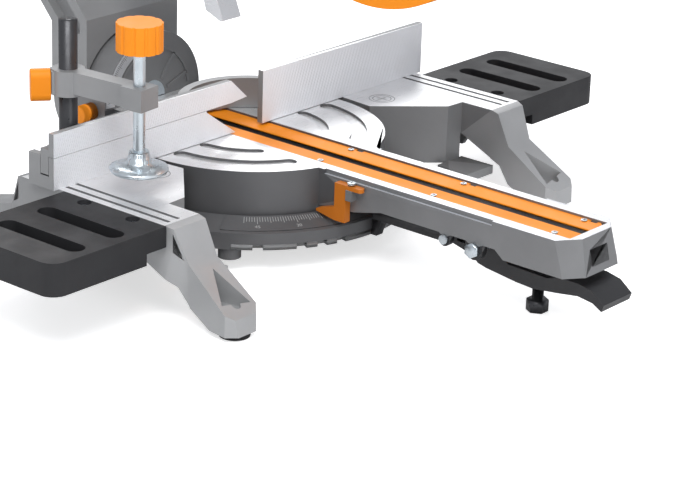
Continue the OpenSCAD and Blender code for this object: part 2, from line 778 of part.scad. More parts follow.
// Kerf plates beside the blade slot, notched beside each screw
plate_notch = 3.5;
plate_lip = 2;
plate_chamfer = 6;
module kerf_plate() {
    difference() {
        slab_z(plate_z, turn_top - kerf_sink) difference() {
            polygon([[slot_half - plate_lip, slot_rear], [kerf_half, slot_rear],
                [kerf_half, -kerf_front + plate_chamfer],
                [kerf_half - plate_chamfer, -kerf_front], [slot_half - plate_lip, -kerf_front]]);
            for (y = screw_ys) translate([kerf_half, -y - 2 * plate_notch])
                square([2 * plate_notch, 2 * plate_notch], center = true);
        }
        for (y = screw_ys) translate([screw_x, -y, 0]) rod_z(kerf_screw_r, plate_z - over, table_h + over);
    }
}
module kerf_plate_right() { color(orange) kerf_plate(); }
module kerf_plate_left() { color(orange) mirror([1, 0, 0]) kerf_plate(); }
module kerf_screws() {
    head_r = 2.6;
    head_h = 1.2;
    color(zinc) for (s = [-1, 1], y = screw_ys) translate([s * screw_x, -y, 0]) {
        rod_z(kerf_screw_r, plate_z - arm_top_t, turn_top - kerf_sink);
        rod_z(head_r, turn_top - kerf_sink, turn_top - kerf_sink + head_h);
    }
}

// Pointer: a flat strip screwed to a boss on the arm, bent down to a point over the scale
pointer_w = 7.2;
pointer_top = 77;
pointer_t = 3.5;
pointer_end = 167;
pointer_bar = [150, 138];
pointer_z0 = 43;
pointer_tip = [118, 47.5];
pointer_foot_t = 2;
pointer_root_z = 55;
boss_y = [157, 150.6];
boss_out = 8;
boss_z0 = 64;
module mitre_pointer() {
    x1 = -arm_half - face_gap;
    color(orange) difference() {
        union() {
            slab_x(x1 - pointer_w, x1) polygon([[-pointer_bar[0], pointer_top], [-pointer_bar[0],
                pointer_z0],
                [-pointer_bar[1], pointer_z0], [-pointer_tip[0], pointer_tip[1] - pointer_foot_t / 2],
                [-pointer_tip[0], pointer_tip[1] + pointer_foot_t / 2], [-pointer_bar[1],
                    pointer_root_z], [-pointer_bar[1], pointer_top]]);
            slab_z(pointer_top - pointer_t, pointer_top) {
                translate([x1 - pointer_w, -pointer_end + pointer_w / 2])
                    square([pointer_w, pointer_end - pointer_bar[1] - pointer_w / 2]);
                translate([x1 - pointer_w / 2, -pointer_end + pointer_w / 2])
                    circle(r = pointer_w / 2, $fn = 32);
            }
        }
        translate([x1 - pointer_w / 2, -pointer_y, 0]) rod_z(kerf_screw_r + run_gap, pointer_z0, table_h);
    }
}
module pointer_screw() {
    head_r = 3.4;
    head_h = 3;
    color(zinc) translate([-arm_half - face_gap - pointer_w / 2, -pointer_y, 0]) {
        rod_z(kerf_screw_r, boss_z0 + over, pointer_top);
        rod_z(head_r, pointer_top, pointer_top + head_h);
    }
}

// Bolt and broad washer that hold the turntable down on the base
module pivot_bolt() {
    washer_t = 3;
    head_r = 9;
    head_h = 5;
    z = floor_z - floor_t - face_gap;
    color(zinc) {
        rod_z(lever_bolt_r, z, drum_z);
        rod_z(pivot_nut_r, z - washer_t, z);
        translate([0, 0, z - washer_t - head_h]) cylinder(r = head_r, h = head_h, $fn = 6);
    }
}

// Black lock lever under the arm, on a cross bolt, with a hole for the anti-tip foot
lever_half = 20;
lever_root_half = 12;
lever_out = 23;
lever_end = arm_reach + lever_out;
lever_drop = 9;
lever_back = 16;
lever_root = detent_bolt_y - lever_back;
// Shares of the lever's length and of its bolt's height, along the bottom and back over the top
lever_shares = [[0, 0.792], [0.177, 0.717], [0.226, 0.623], [0.476, 0.528], [0.579, 0.509], [0.732, 0.566],
    [0.854, 0.623], [0.945, 0.585], [1, 0.491], [1.012, 0.604], [0.939, 0.774], [0.854, 0.83],
        [0.744, 0.83],
    [0.665, 0.755], [0.421, 0.774], [0.354, 0.981], [0.287, 1.17], [0.207, 1.132], [0, 0.943]];
module mitre_lock_lever() {
    color(black) difference() {
        intersection() {
            slab_x(-lever_half, lever_half) polygon([for (p = lever_shares)
                [-lever_root - p[0] * (lever_end - lever_root), p[1] * lever_bolt_z]]);
            slab_z(0, table_h) polygon([[-lever_root_half, -lever_root + over],
                [lever_root_half, -lever_root + over],
                [lever_half, -lever_bolt_y], [lever_half, -lever_end - 2 * over],
                    [-lever_half, -lever_end - 2 * over], [-lever_half, -lever_bolt_y]]);
        }
        translate([0, -lever_bolt_y, lever_bolt_z]) rod_x(lever_bolt_r + run_gap, -table_h, table_h);
        translate([0, -tip_y, 0]) rod_z(tip_boss_r - over, 0, table_h);
        box([-lever_half - over, -detent_bolt_y - 2 * detent_bolt_r, detent_bolt_z - lever_drop],
            [lever_half + over, -detent_bolt_y + 2 * detent_bolt_r, table_h]);
        // Channel over the detent lever
        box([-detent_notch_w / 2 - over, -lever_bolt_y + lug_r, 0],
            [detent_notch_w / 2 + over, 0, table_h]);
    }
}
module lever_pivot_bolt() {
    head_r = 6.5;
    head_h = 5;
    small_head_r = 4;
    color(zinc) translate([0, -detent_bolt_y, detent_bolt_z]) {
        rod_x(detent_bolt_r, -arm_half, arm_half);
        for (s = [-1, 1]) translate([s * (arm_half + head_h / 4) - head_h / 4, 0, 0])
            rod_x(small_head_r, 0, head_h / 2);
    }
    color(zinc) translate([0, -lever_bolt_y, lever_bolt_z]) {
        rod_x(lever_bolt_r, -arm_half, arm_half);
        for (s = [-1, 1]) translate([s * (arm_half + head_h / 2) - head_h / 2, 0, 0]) rotate([0, 90, 0])
            cylinder(r = head_r, h = head_h, $fn = 6);
    }
}

// Sprung detent lever: a broad cast plate on its own bolt, with a tooth in the detent plate's notches
module detent_lever() {
    w = detent_notch_w / 2 - face_gap;
    tip = scale_r - detent_notch_d + face_gap;
    tooth_top = floor_z + detent_t - face_gap;
    leg_y = scale_r + over;
    body_z = detent_body_z;
    color(dark_cast) difference() {
        union() {
            slab_x(-w, w) polygon([[-tip, floor_z], [-tip, tooth_top], [-leg_y, tooth_top],
                [-leg_y, body_z[0]], [-detent_body[1], body_z[0] + detent_eye_r],
                [-detent_body[0], body_z[1] - over], [-detent_bolt_y, detent_bolt_z + detent_eye_r],
                [-detent_bolt_y, detent_bolt_z - detent_eye_r], [-detent_body[0], body_z[0] + over],
                [-detent_body[1] - over, body_z[0]], [-leg_y - detent_t, floor_z]]);
            slab_x(-detent_body_half, detent_body_half) polygon([[-detent_body[0], body_z[0]],
                [-detent_body[0], body_z[1]], [-detent_body[1] - detent_body_in, body_z[1]],
                [-detent_body[1], body_z[1] - detent_eye_r], [-detent_body[1], body_z[0]]]);
            translate([0, -detent_bolt_y, detent_bolt_z]) rod_x(detent_eye_r, -w, w);
        }
        translate([0, -detent_bolt_y, detent_bolt_z]) rod_x(detent_bolt_r + run_gap, -table_h, table_h);
    }
}

// Screw foot under the arm that stops the saw tipping forward
module anti_tip_foot() {
    head_r = 9.5;
    head_h = 10;
    top = slot_floor - arm_top_t;
    color(black) translate([0, -tip_y, 0]) {
        rod_z(tip_r, head_h - over, top);
        cylinder(r = head_r, h = head_h, $fn = 6);
    }
}

// Bevel arm: arched flange round the trunnion, leaning back to the rail housing
lean_z = 162;
house_y0 = 206;
house_y1 = 300;
house_z0 = 230;
house_z1 = 308;
plate_y0 = trunnion_end + face_gap;
plate_t = 12;
plate_r = 57;
bush_t = 4;
lock_slot_end = 8.5;
lock_slot = 45 + 2 * lock_slot_end;
slide_knob_y = 253;
slide_knob_r = 5;
module bevel_arm() {
    wall = 9;
    color(grey_cast) difference() {
        union() {
            intersection() {
                slab_x(-bevel_half, bevel_half) polygon([[bevel_y, table_h], [bevel_y, lean_z],
                    [house_y0, house_z0],
                    [house_y0, house_z1], [house_y1, house_z1], [house_y1, house_z0 + wall],
                        [house_y1 - 5 * wall, house_z0 - wall],
                    [plate_y0 + plate_t, lean_z - wall], [plate_y0 + plate_t, table_h]]);
                slab_y(0, rail_end) polygon([[-bevel_half, table_h], [bevel_half, table_h],
                    [bevel_half, house_z1 - wall],
                    [bevel_half - wall, house_z1], [-bevel_half + wall, house_z1],
                        [-bevel_half, house_z1 - wall]]);
            }
            translate([0, 0, bevel_axis_z]) rod_y(plate_r, plate_y0, plate_y0 + plate_t);
        }
        translate([0, 0, bevel_axis_z]) rod_y(arch_r, bevel_y - over, plate_y0);
        // Weight-saving pockets in both flanks
        for (s = [-1, 1]) slab_x(s > 0 ? bevel_half - wall : -bevel_half - over,
            s > 0 ? bevel_half + over : -bevel_half + wall)
            polygon([[bevel_y + wall, arch_r + table_h], [bevel_y + wall, lean_z - wall / 2],
                [house_y0 + wall, house_z0 - wall],
                [house_y1 - 6 * wall, house_z0 - wall], [plate_y0, lean_z - wall],
                    [plate_y0, arch_r + table_h]]);
        for (s = [-1, 1]) translate([s * rail_x, 0, rail_z])
            rod_y(rail_r + bush_t, house_y0 - over, house_y1 + over);
        translate([0, 0, bevel_axis_z]) rod_y(pin_r, plate_y0 - over, plate_y0 + plate_t + over);
        // Arc slot of the bevel lock
        translate([0, plate_y0 - over, bevel_axis_z]) rotate([-90, 0, 0])
            rotate([0, 0, -lock_angle - lock_slot_end])
            rotate_extrude(angle = lock_slot) translate([lock_arc_r - lock_bolt_r - over, 0])
                square([2 * (lock_bolt_r + over), plate_t + 2 * over]);
        translate([-bevel_half, slide_knob_y, rail_z])
            rod_x(slide_knob_r + run_gap, -over, bevel_half - rail_x - rail_r);
    }
}
module linear_bushes() {
    color(zinc) for (s = [-1, 1]) translate([s * rail_x, 0, rail_z])
        tube_y(rail_r + bush_t, rail_r + run_gap, house_y0, house_y1);
}
module bevel_pivot_pin() {
    color(zinc) translate([0, 0, bevel_axis_z]) {
        rod_y(pin_r, trunnion_y, plate_y0 + plate_t);
        rod_y(pin_cap_r, plate_y0 + plate_t, plate_y0 + plate_t + pin_cap_t);
        rod_y(pin_cap_r, trunnion_y, trunnion_y + pin_cap_t);
    }
}

// Bevel lock: a handle on a bolt through the arc slot, screwed into the trunnion
bevel_lever_len = 62;
module bevel_lock_lever() {
    y0 = plate_y0 + plate_t + face_gap;
    hub_t = 16;
    hub_r2 = 10;
    grip_r = 6;
    translate([0, 0, bevel_axis_z]) rotate([0, -lock_angle, 0]) translate([lock_arc_r, 0, 0]) {
        color(zinc) rod_y(lock_bolt_r, trunnion_end - 3 * turn_wall, y0 + hub_t);
        color(zinc) rod_y(hub_r2, y0, y0 + over);
        color(orange) {
            rod_y(hub_r2, y0 + over, y0 + hub_t);
            translate([0, y0 + hub_t / 2, 0]) rotate([0, 75, 0]) hull() {
                rod_x(grip_r, 0, bevel_lever_len - grip_r);
                translate([bevel_lever_len - grip_r, 0, 0]) sphere(r = grip_r, $fn = 24);
            }
        }
    }
}

// Pull pin that sets the bevel stop, at the left of the trunnion
stop_knob_r = 8;
stop_knob_t = 17;
module bevel_stop_pin() {
    translate([0, stop_y, stop_z]) {
        color(zinc) rod_x(stop_r, -trunnion_r - face_gap - over, -stop_in);
        color(orange) rod_x(stop_knob_r, -trunnion_r - face_gap - stop_knob_t, -trunnion_r - face_gap);
    }
}

module slide_lock_knob() {
    knob_t = 14;
    knob_r1 = 13;
    color(zinc) translate([0, slide_knob_y, rail_z])
        rod_x(slide_knob_r, -bevel_half - face_gap - over, -rail_x - rail_r - bush_t);
    color(orange) translate([-bevel_half - face_gap - knob_t, slide_knob_y, rail_z]) rotate([0, 90, 0])
        fluted_knob(knob_r1, knob_t, knob_flutes, flute_d);
}

// Slide carriage values
rail_y0 = 62;
car_y0 = 28;
car_y1 = 108;
car_z0 = 236;
car_z1 = 304;
car_half = 60;
car_chin = 20;
car_floor = 6;
shaft_r = 8;
barrel_r = 16;
barrel_x0 = -28;
barrel_x1 = 30;
spring_x1 = 44;
shoulder_x = 36;
shoulder_z = 279.5;
module slide_rails() {
    color(zinc) for (s = [-1, 1]) translate([s * rail_x, 0, rail_z]) rod_y(rail_r, rail_y0, rail_end);
}
module rail_end_cap() {
    t = 10;
    color(black) difference() {
        hull() for (s = [-1, 1]) translate([s * rail_x, 0, rail_z])
            rod_y(rail_r + bush_t, rail_end - t, rail_end + bush_t);
        for (s = [-1, 1]) translate([s * rail_x, 0, rail_z]) rod_y(rail_r, rail_end - t - over, rail_end);
    }
}
module carriage() {
    gap = face_gap;
    color(grey_cast) difference() {
        intersection() {
            slab_x(-car_half, car_half) polygon([[car_y0, pivot_z + barrel_r / 2],
                [pivot_y - barrel_r / 2, pivot_z + barrel_r + over], [car_y1, car_z1], [car_y1, car_z0],
                    [car_y0 + car_chin, car_z0], [car_y0, car_z0 + barrel_r]]);
            slab_y(0, rail_end) polygon([[-car_half, car_z0 + barrel_r], [-car_half + barrel_r, car_z0],
                [car_half - barrel_r, car_z0],
                [car_half, car_z0 + barrel_r], [car_half, shoulder_z],
                    [shoulder_x, shoulder_z + car_half - shoulder_x],
                [shoulder_x, pivot_z + 2 * barrel_r], [-shoulder_x, pivot_z + 2 * barrel_r],
                [-shoulder_x, shoulder_z + car_half - shoulder_x], [-car_half, shoulder_z]]);
        }
        // Fork between the lugs, clear of the head arm's barrel over its swing
        translate([0, pivot_y, pivot_z]) rod_x(barrel_r + over, barrel_x0 - gap, spring_x1 + gap);
        box([barrel_x0 - gap, car_y0 - 2 * over, car_z0 + car_floor],
            [spring_x1 + gap, pivot_y + barrel_r / 2, pivot_z + 3 * barrel_r]);
        box([barrel_x0 - gap, pivot_y - over, pivot_z],
            [spring_x1 + gap, pivot_y + barrel_r, pivot_z + 3 * barrel_r]);
        translate([0, pivot_y, pivot_z]) rod_x(shaft_r, -car_half - over, car_half + over);
        for (s = [-1, 1]) translate([s * rail_x, 0, rail_z]) rod_y(rail_r, rail_y0, car_y1 + over);
    }
}
module chop_pivot_shaft() {
    cap = 3;
    color(zinc) translate([0, pivot_y, pivot_z]) {
        rod_x(shaft_r, -car_half, car_half);
        for (s = [-1, 1]) translate([s * (car_half + cap / 2) - cap / 2, 0, 0])
            rod_x(shaft_r + cap, 0, cap);
    }
}

// Return spring: closed turns round the pivot shaft, beside the head arm's barrel
module return_spring() {
    wire_gap = 0.6;
    coil_drop = 3;
    color(zinc) translate([0, pivot_y, pivot_z])
        tube_x(barrel_r - coil_drop, shaft_r + wire_gap, barrel_x1 + wire_gap, spring_x1 - wire_gap);
}

// Chip deflector: a wedge-shaped flap under the carriage, behind the blade
module chip_deflector() {
    half = 12;
    skin = 3;
    rise = 7;
    tip_z = 177;
    tip_y0 = 25;
    tip_y1 = 46;
    root_in = 22;
    root_w = 12;
    root_y0 = car_y0 + root_in;
    root_y1 = root_y0 + root_w;
    color(silver) difference() {
        slab_x(-half, half) polygon([[tip_y0, tip_z + over], [tip_y0 + skin, tip_z],
            [tip_y1, tip_z + rise], [root_y1, car_z0], [root_y0, car_z0]]);
        slab_x(-half + skin, half - skin) polygon([[tip_y0 + rise, tip_z - over],
            [tip_y1 - 2 * skin, tip_z - over],
            [root_y1 - skin, car_z0 - rise], [root_y0 + skin, car_z0 - rise]]);
    }
}

// Head values, about the blade axis; angles run from the front upwards
motor_off_y = 20;
gear_teeth = 46;
pinion_teeth = 10;
gear_module = 10 / 7;
gear_rim = 3;
addendum_share = 0.9;
dedendum_share = 1.2;
flank_shares = [0.12, 0.31];
gear_dist = gear_module * (gear_teeth + pinion_teeth) / 2;
motor_off_z = sqrt(gear_dist * gear_dist - motor_off_y * motor_off_y);
arbor_r = 8;
flange_r = 22;
flange_t = 4.8;
guard_r = 135;
guard_wall = 2;
guard_half = 11.5;
guard_a0 = 38;
guard_a1 = 200;
guard_eye_r = 60;
inner_guard_r = 130.5;
inner_guard_half = 8.5;
inner_a0 = 215;
inner_a1 = 385;
nose_r = 34;
nose_ring_r = 44;
case_r = 44;
case_x0 = 12;
case_x1 = 44;
cover_x1 = 54;
gear_x0 = 28;
gear_x1 = 40;
bearing_r = 17.5;
bearing_w = 9;
small_bearing_r = 11;
housing_wall = 4;
housing_x1 = 188;
arm_x1 = 30;
lock_pin_x = 24.5;
lock_pin_r = 2;
lock_head_r = 7;
pin_gap = 3;
lock_pin_a = -50;
grip_r0 = 152;
grip_r1 = 188;
grip_r2 = 214;
grip_a0 = 28;
grip_a1 = 80;
grip_half = 16;
grip_post_a = 9;
trigger_a = 54;
trigger_half = 6;
trigger_w = 22;
trigger_out = 8;
button_a = 67;
button_r = 6;
grip_edge = 6;
well_d = 14;
button_in = 7;
button_out = 4;
vent_n = 10;
vent_w = 2.5;
vent_x = [8, 20];
cap_vent_w = 1.5;
cap_vent_r = [20, 36];
cap_vent_d = 8;
cap_step = 6;
cap_boss = 14;

module at_blade() { translate([0, -blade_y, blade_z]) children(); }
module at_motor() { at_blade() translate([0, motor_off_y, motor_off_z]) children(); }
// Ring sector about the X axis, from angle a0 to a1, with its profile in radius and X
module sector_x(a0, a1) { rotate([0, 90, 0]) rotate(270 - a1) rotate_extrude(angle = a1 - a0, $fn = 128)
    children(); }
// Moves a child drawn along +X out along the radial direction at angle a
module radial(a) { rotate([a, 0, 0]) rotate([0, 0, -90]) children(); }

module case_outline(x0, x1, r) {
    slab_x(x0, x1) {
        translate([-blade_y, blade_z]) circle(r = r);
        translate([motor_off_y - blade_y, motor_off_z + blade_z]) circle(r = motor_r);
        translate([-blade_y, blade_z]) rotate(-atan2(motor_off_y, motor_off_z)) translate([-r + over, 0])
            square([2 * (r - over), gear_dist]);
    }
}

module head_casting() {
    color(grey_cast) difference() {
        union() {
            case_outline(case_x0, case_x1, case_r);
            at_blade() rod_x(nose_r, inner_guard_half - guard_wall, case_x0 + over);
            slab_x(case_x0, arm_x1) polygon([[-blade_y, blade_z - case_r + over],
                [pivot_y - barrel_r / 3, pivot_z - barrel_r],
                [pivot_y + barrel_r / 3, pivot_z + barrel_r - over],
                    [pivot_y - 2 * barrel_r, pivot_z + 3 * barrel_r - car_floor],
                [-blade_y + case_r, blade_z + case_r - over], [-blade_y, blade_z + case_r - over]]);
            translate([0, pivot_y, pivot_z]) rod_x(barrel_r, barrel_x0, barrel_x1);
        }
        translate([0, pivot_y, pivot_z]) rod_x(shaft_r + run_gap, barrel_x0 - over, barrel_x1 + over);
        at_blade() {
            rod_x(arbor_r + over, 0, case_x1);
            rod_x(bearing_r, case_x0 + over, case_x0 + over + bearing_w);
            rod_x(gear_dist - gear_rim, gear_x0 - over, case_x1 + over);
            translate([lock_pin_x, 0, 0]) radial(-lock_pin_a)
                rod_x(lock_pin_r + run_gap, arbor_r, 2 * case_r);
        }
        at_motor() rod_x(pinion_teeth + over, gear_x0 - over, case_x1 + over);
    }
}

module gearbox_cover() {
    color(dark_cast) difference() {
        case_outline(case_x1, cover_x1, case_r);
        at_blade() rod_x(bearing_r, case_x1 - over, case_x1 + bearing_w);
        at_blade() rod_x(arbor_r + over, case_x1 - over, cover_x1 - over);
        at_motor() rod_x(small_bearing_r, case_x1 - over, case_x1 + bearing_w);
        at_motor() rod_x(shaft_r, case_x1 - over, cover_x1 + over);
    }
}

module upper_guard() {
    color(black) at_blade() {
        sector_x(guard_a0, guard_a1) polygon([[guard_eye_r, -guard_half], [guard_r, -guard_half],
            [guard_r, guard_half],
            [guard_eye_r, guard_half], [guard_eye_r, guard_half - guard_wall],
                [guard_r - guard_wall, guard_half - guard_wall],
            [guard_r - guard_wall, -guard_half + guard_wall], [guard_eye_r, -guard_half + guard_wall]]);
        sector_x(guard_a0, guard_a1) translate([nose_r + over, guard_half - guard_wall])
            square([guard_eye_r - nose_r, guard_wall]);
    }
}

// Lower guard: a U section that turns up into the upper guard as the head comes down
module lower_guard() {
    h = inner_guard_half;
    w = guard_wall;
    color(orange) at_blade() difference() {
        union() {
            sector_x(inner_a0, inner_a1) polygon([[guard_eye_r, -h], [inner_guard_r, -h],
                [inner_guard_r, h], [nose_r / 2, h],
                [nose_r / 2, h - w], [inner_guard_r - w, h - w], [inner_guard_r - w, -h + w],
                    [guard_eye_r, -h + w]]);
            rod_x(nose_ring_r, h - w, h);
        }
        rod_x(nose_r + run_gap, h - w - over, h + over);
    }
}

// Blade: plate with hooked teeth and narrow expansion slots
gullet_share = 0.93;
tooth_shares = [[0, 1], [0.3, 0.985], [0.62, gullet_share], [0.92, gullet_share]];
slot_len = 22;
slot_w = 1.2;
module saw_blade() {
    step = 360 / blade_teeth;
    color(zinc) at_blade() rotate([0, 90, 0]) translate([0, 0, -blade_kerf / 2])
        linear_extrude(blade_kerf) difference() {
        polygon([for (i = [0:blade_teeth - 1], p = tooth_shares)
            blade_r * p[1] * [cos((i + p[0]) * step), sin((i + p[0]) * step)]]);
        circle(r = arbor_r);
        for (a = [45, 135, 225, 315]) rotate(a + step / 2)
            translate([blade_r * gullet_share - slot_len, -slot_w / 2]) square([slot_len + over, slot_w]);
    }
}
module arbor() {
    k = blade_kerf / 2;
    head_r = 9;
    head_h = 6;
    color(zinc) at_blade() {
        rod_x(arbor_r, -k, cover_x1 - 2 * over);
        tube_x(flange_r, arbor_r, k, k + flange_t - face_gap);
        rod_x(flange_r, -k - flange_t, -k);
        translate([-k - flange_t - head_h, 0, 0]) rotate([0, 90, 0])
            cylinder(r = head_r, h = head_h, $fn = 6);
    }
}

// Spur gears with straight-flanked teeth
module gear_shape(teeth, turn) {
    pitch_r = gear_module * teeth / 2;
    step = 360 / teeth;
    root = pitch_r - dedendum_share * gear_module;
    tip = pitch_r + addendum_share * gear_module;
    rotate(turn) polygon([for (i = [0:teeth - 1], p = [[-flank_shares[1], root],
        [-flank_shares[0], tip], [flank_shares[0], tip], [flank_shares[1], root]])
        p[1] * [cos((i + p[0]) * step), sin((i + p[0]) * step)]]);
}
mesh_angle = 180 + atan2(motor_off_y, motor_off_z);
module drive_gear() {
    color(zinc) at_blade() rotate([0, 90, 0]) translate([0, 0, gear_x0])
        linear_extrude(gear_x1 - gear_x0) difference() {
        gear_shape(gear_teeth, -mesh_angle);
        circle(r = arbor_r);
    }
}

module motor_housing() {
    color(black) difference() {
        at_motor() rod_x(motor_r, cover_x1, housing_x1);
        at_motor() rod_x(motor_r - housing_wall, cover_x1 - over, housing_x1 + over);
        at_motor() for (i = [0:vent_n - 1]) rotate([i * 360 / vent_n, 0, 0])
            box([cover_x1 + vent_x[0], -vent_w, 0], [cover_x1 + vent_x[1], vent_w, motor_r + over]);
        at_motor() translate([(comm_x0 + comm_x1) / 2, 0, 0])
            rod_z(brush_r + face_gap, -motor_r - over, motor_r + over);
    }
}
module motor_end_cap() {
    boss_r = 15;
    color(black) at_motor() difference() {
        union() {
            rod_x(motor_r, housing_x1, motor_x - cap_step);
            rod_x(motor_r - cap_step, motor_x - cap_step, motor_x);
            rod_x(boss_r, housing_x1 - cap_boss, housing_x1 + over);
        }
        rod_x(small_bearing_r, housing_x1 - cap_boss - over, housing_x1 - cap_boss + bearing_w);
        rod_x(shaft_r, housing_x1 - cap_boss, housing_x1);
        for (i = [0:vent_n - 1]) rotate([i * 360 / vent_n, 0, 0])
            box([motor_x - cap_vent_d, -cap_vent_w, cap_vent_r[0]],
                [motor_x + over, cap_vent_w, cap_vent_r[1]]);
    }
}
stator_x0 = 86;
stator_x1 = 142;
core_r = 25;
armature_r = 5;
comm_x0 = 150;
comm_x1 = 166;
comm_r = 13;
brush_r = 5;
module motor_stator() {
    color(dark_cast) at_motor() difference() {
        rod_x(motor_r - housing_wall, stator_x0, stator_x1);
        rod_x(core_r + over, stator_x0 - over, stator_x1 + over);
    }
}
module motor_bearings() {
    color(zinc) {
        at_blade() tube_x(bearing_r, arbor_r + run_gap, case_x0 + over, case_x0 + over + bearing_w);
        at_blade() tube_x(bearing_r, arbor_r + run_gap, case_x1, case_x1 + bearing_w);
        at_motor() tube_x(small_bearing_r, armature_r + run_gap, case_x1, case_x1 + bearing_w);
        at_motor() tube_x(small_bearing_r, armature_r + run_gap, housing_x1 - cap_boss,
            housing_x1 - cap_boss + bearing_w);
    }
}
module carbon_brushes() {
    color(dark_cast) at_motor() for (s = [0, 180]) rotate([s, 0, 0]) translate([(comm_x0 + comm_x1)
        / 2, 0, 0])
        rod_z(brush_r, comm_r + face_gap, motor_r - over);
}
module armature() {
    color(dark_cast) at_motor() {
        rod_x(armature_r, gear_x0, housing_x1 - cap_step);
        rod_x(core_r, stator_x0 + 2 * over, stator_x1 - 2 * over);
        rod_x(comm_r, comm_x0 - 4 * over, comm_x1 + 4 * over);
        translate([gear_x0, 0, 0]) rotate([0, 90, 0]) linear_extrude(gear_x1 - gear_x0 + over)
            gear_shape(pinion_teeth, 180 / pinion_teeth - mesh_angle + 180);
    }
}
module cooling_fan() {
    blades = 9;
    hub_r3 = 16;
    fan_r = 36;
    disc_t = 2;
    x0 = cover_x1 + cap_step;
    x1 = x0 + cap_boss;
    color(orange) at_motor() {
        tube_x(hub_r3, armature_r, x0, x1);
        tube_x(fan_r, armature_r, x1 - disc_t, x1);
        for (i = [0:blades - 1]) rotate([i * 360 / blades, 0, 0])
            box([x0 + disc_t, -disc_t / 2, hub_r3 - disc_t], [x1 - disc_t / 2, disc_t / 2, fan_r - over]);
    }
}

// Handle: two shells that meet on the blade plane, with a hand opening
module handle_half() {
    at_blade() difference() {
        sector_x(grip_a0, grip_a1) polygon([[guard_r + face_gap, 0], [grip_r2, 0],
            [grip_r2, grip_half - grip_edge],
            [grip_r2 - grip_edge, grip_half], [guard_r + grip_edge, grip_half],
            [guard_r + face_gap, grip_half - grip_edge]]);
        sector_x(grip_a0 + grip_post_a, grip_a1 - grip_post_a) translate([grip_r0, -over])
            square([grip_r1 - grip_r0, grip_half + 2 * over]);
        // Trigger and button wells
        radial(-trigger_a) box([grip_r1 - over, -trigger_w / 2 - over, -trigger_half - face_gap],
            [grip_r1 + well_d, trigger_w / 2 + over, trigger_half + face_gap]);
        radial(-button_a) rod_x(button_r + face_gap, grip_r2 - button_in - grip_edge, grip_r2 + over);
    }
}
module handle_right() { color(black) handle_half(); }
module handle_left() { color(black) mirror([1, 0, 0]) handle_half(); }
module trigger() {
    color(orange) at_blade() radial(-trigger_a)
        box([grip_r1 - trigger_out, -trigger_w / 2, -trigger_half],
            [grip_r1 + grip_edge, trigger_w / 2, trigger_half]);
}
module lock_off_button() {
    color(orange) at_blade() radial(-button_a) rod_x(button_r, grip_r2 - button_in, grip_r2 + button_out);
}
module spindle_lock_button() {
    color(black) at_blade() translate([lock_pin_x, 0, 0]) radial(-lock_pin_a) {
        rod_x(lock_pin_r, arbor_r + pin_gap, case_r + button_out);
        rod_x(lock_head_r, case_r + button_out, case_r + button_out + shaft_r);
    }
}

// Clamp values
arm_hub_r = 14;
arm_hub_z0 = 152;
arm_hub_z1 = 174;
clamp_x = -191;
clamp_y = -48;
clamp_bar_w = 15;
clamp_bar_z0 = 155;
clamp_bar_z1 = 174;
clamp_nut_w = 22;
clamp_lock_z = 160;
clamp_tab = [7, 14, 17];
clamp_knob_z0 = 204;
clamp_knob_z1 = 228;
pad_z = 100;
pad_t = 4;
pad_hub_r = 9;
pad_hub_h = 14;
pad_edge = 1.8;
lock_dir = 142;
clamp_screw_r = 4;
module at_post() { translate([-post_x, post_y, 0]) children(); }
module clamp_post() {
    collar_r = 9.3;
    collar_h = 4;
    color(black) at_post() {
        rod_z(post_r, socket_z + over, post_top);
        tube_z(collar_r, post_r, table_h + face_gap, table_h + collar_h);
    }
}
module clamp_arm() {
    len = norm([clamp_x + post_x, clamp_y - post_y]);
    color(grey_cast) at_post() difference() {
        union() {
            rod_z(arm_hub_r, arm_hub_z0, arm_hub_z1);
            rotate(atan2(clamp_y - post_y, clamp_x + post_x)) {
                box([0, -clamp_bar_w / 2, clamp_bar_z0], [len, clamp_bar_w / 2, clamp_bar_z1]);
                box([len - clamp_nut_w / 2, -clamp_nut_w / 2, clamp_bar_z0],
                    [len + clamp_nut_w / 2, clamp_nut_w / 2, clamp_bar_z1]);
            }
            rotate(lock_dir) box([0, -clamp_tab[0], arm_hub_z0 + over],
                [arm_hub_r + over / 2, clamp_tab[0], arm_hub_z1 - over]);
        }
        rod_z(post_r + run_gap, 0, post_top);
        translate([clamp_x + post_x, clamp_y - post_y, 0]) rod_z(spindle_r + run_gap, 0, post_top);
        translate([0, 0, clamp_lock_z]) rotate(lock_dir) rod_x(clamp_screw_r + run_gap, 0, 2 * arm_hub_r);
    }
}
module clamp_lock_knob() {
    x0 = arm_hub_r + over / 2 + face_gap;
    at_post() translate([0, 0, clamp_lock_z]) rotate(lock_dir) {
        color(zinc) rod_x(clamp_screw_r, post_r + face_gap, x0 + over);
        color(orange) slab_x(x0, x0 + clamp_tab[2]) {
            square([2 * clamp_tab[0], 2 * (clamp_tab[1] - clamp_tab[0])], center = true);
            for (s = [-1, 1]) translate([0, s * (clamp_tab[1] - clamp_tab[0])]) circle(r = clamp_tab[0],
                $fn = 32);
        }
    }
}
module clamp_pad() {
    color(zinc) translate([clamp_x, clamp_y, pad_z]) difference() {
        rotate_extrude($fn = 96) polygon([[0, 0], [pad_r - pad_edge, 0], [pad_r, pad_edge], [pad_r, pad_t],
            [pad_r - 3 * pad_edge, pad_t + pad_edge], [pad_hub_r + pad_edge, pad_t + 2 * pad_edge],
            [pad_hub_r - over, pad_t + pad_hub_h], [0, pad_t + pad_hub_h]]);
        rod_z(spindle_r + run_gap, pad_t, pad_t + 2 * pad_hub_h);
    }
}
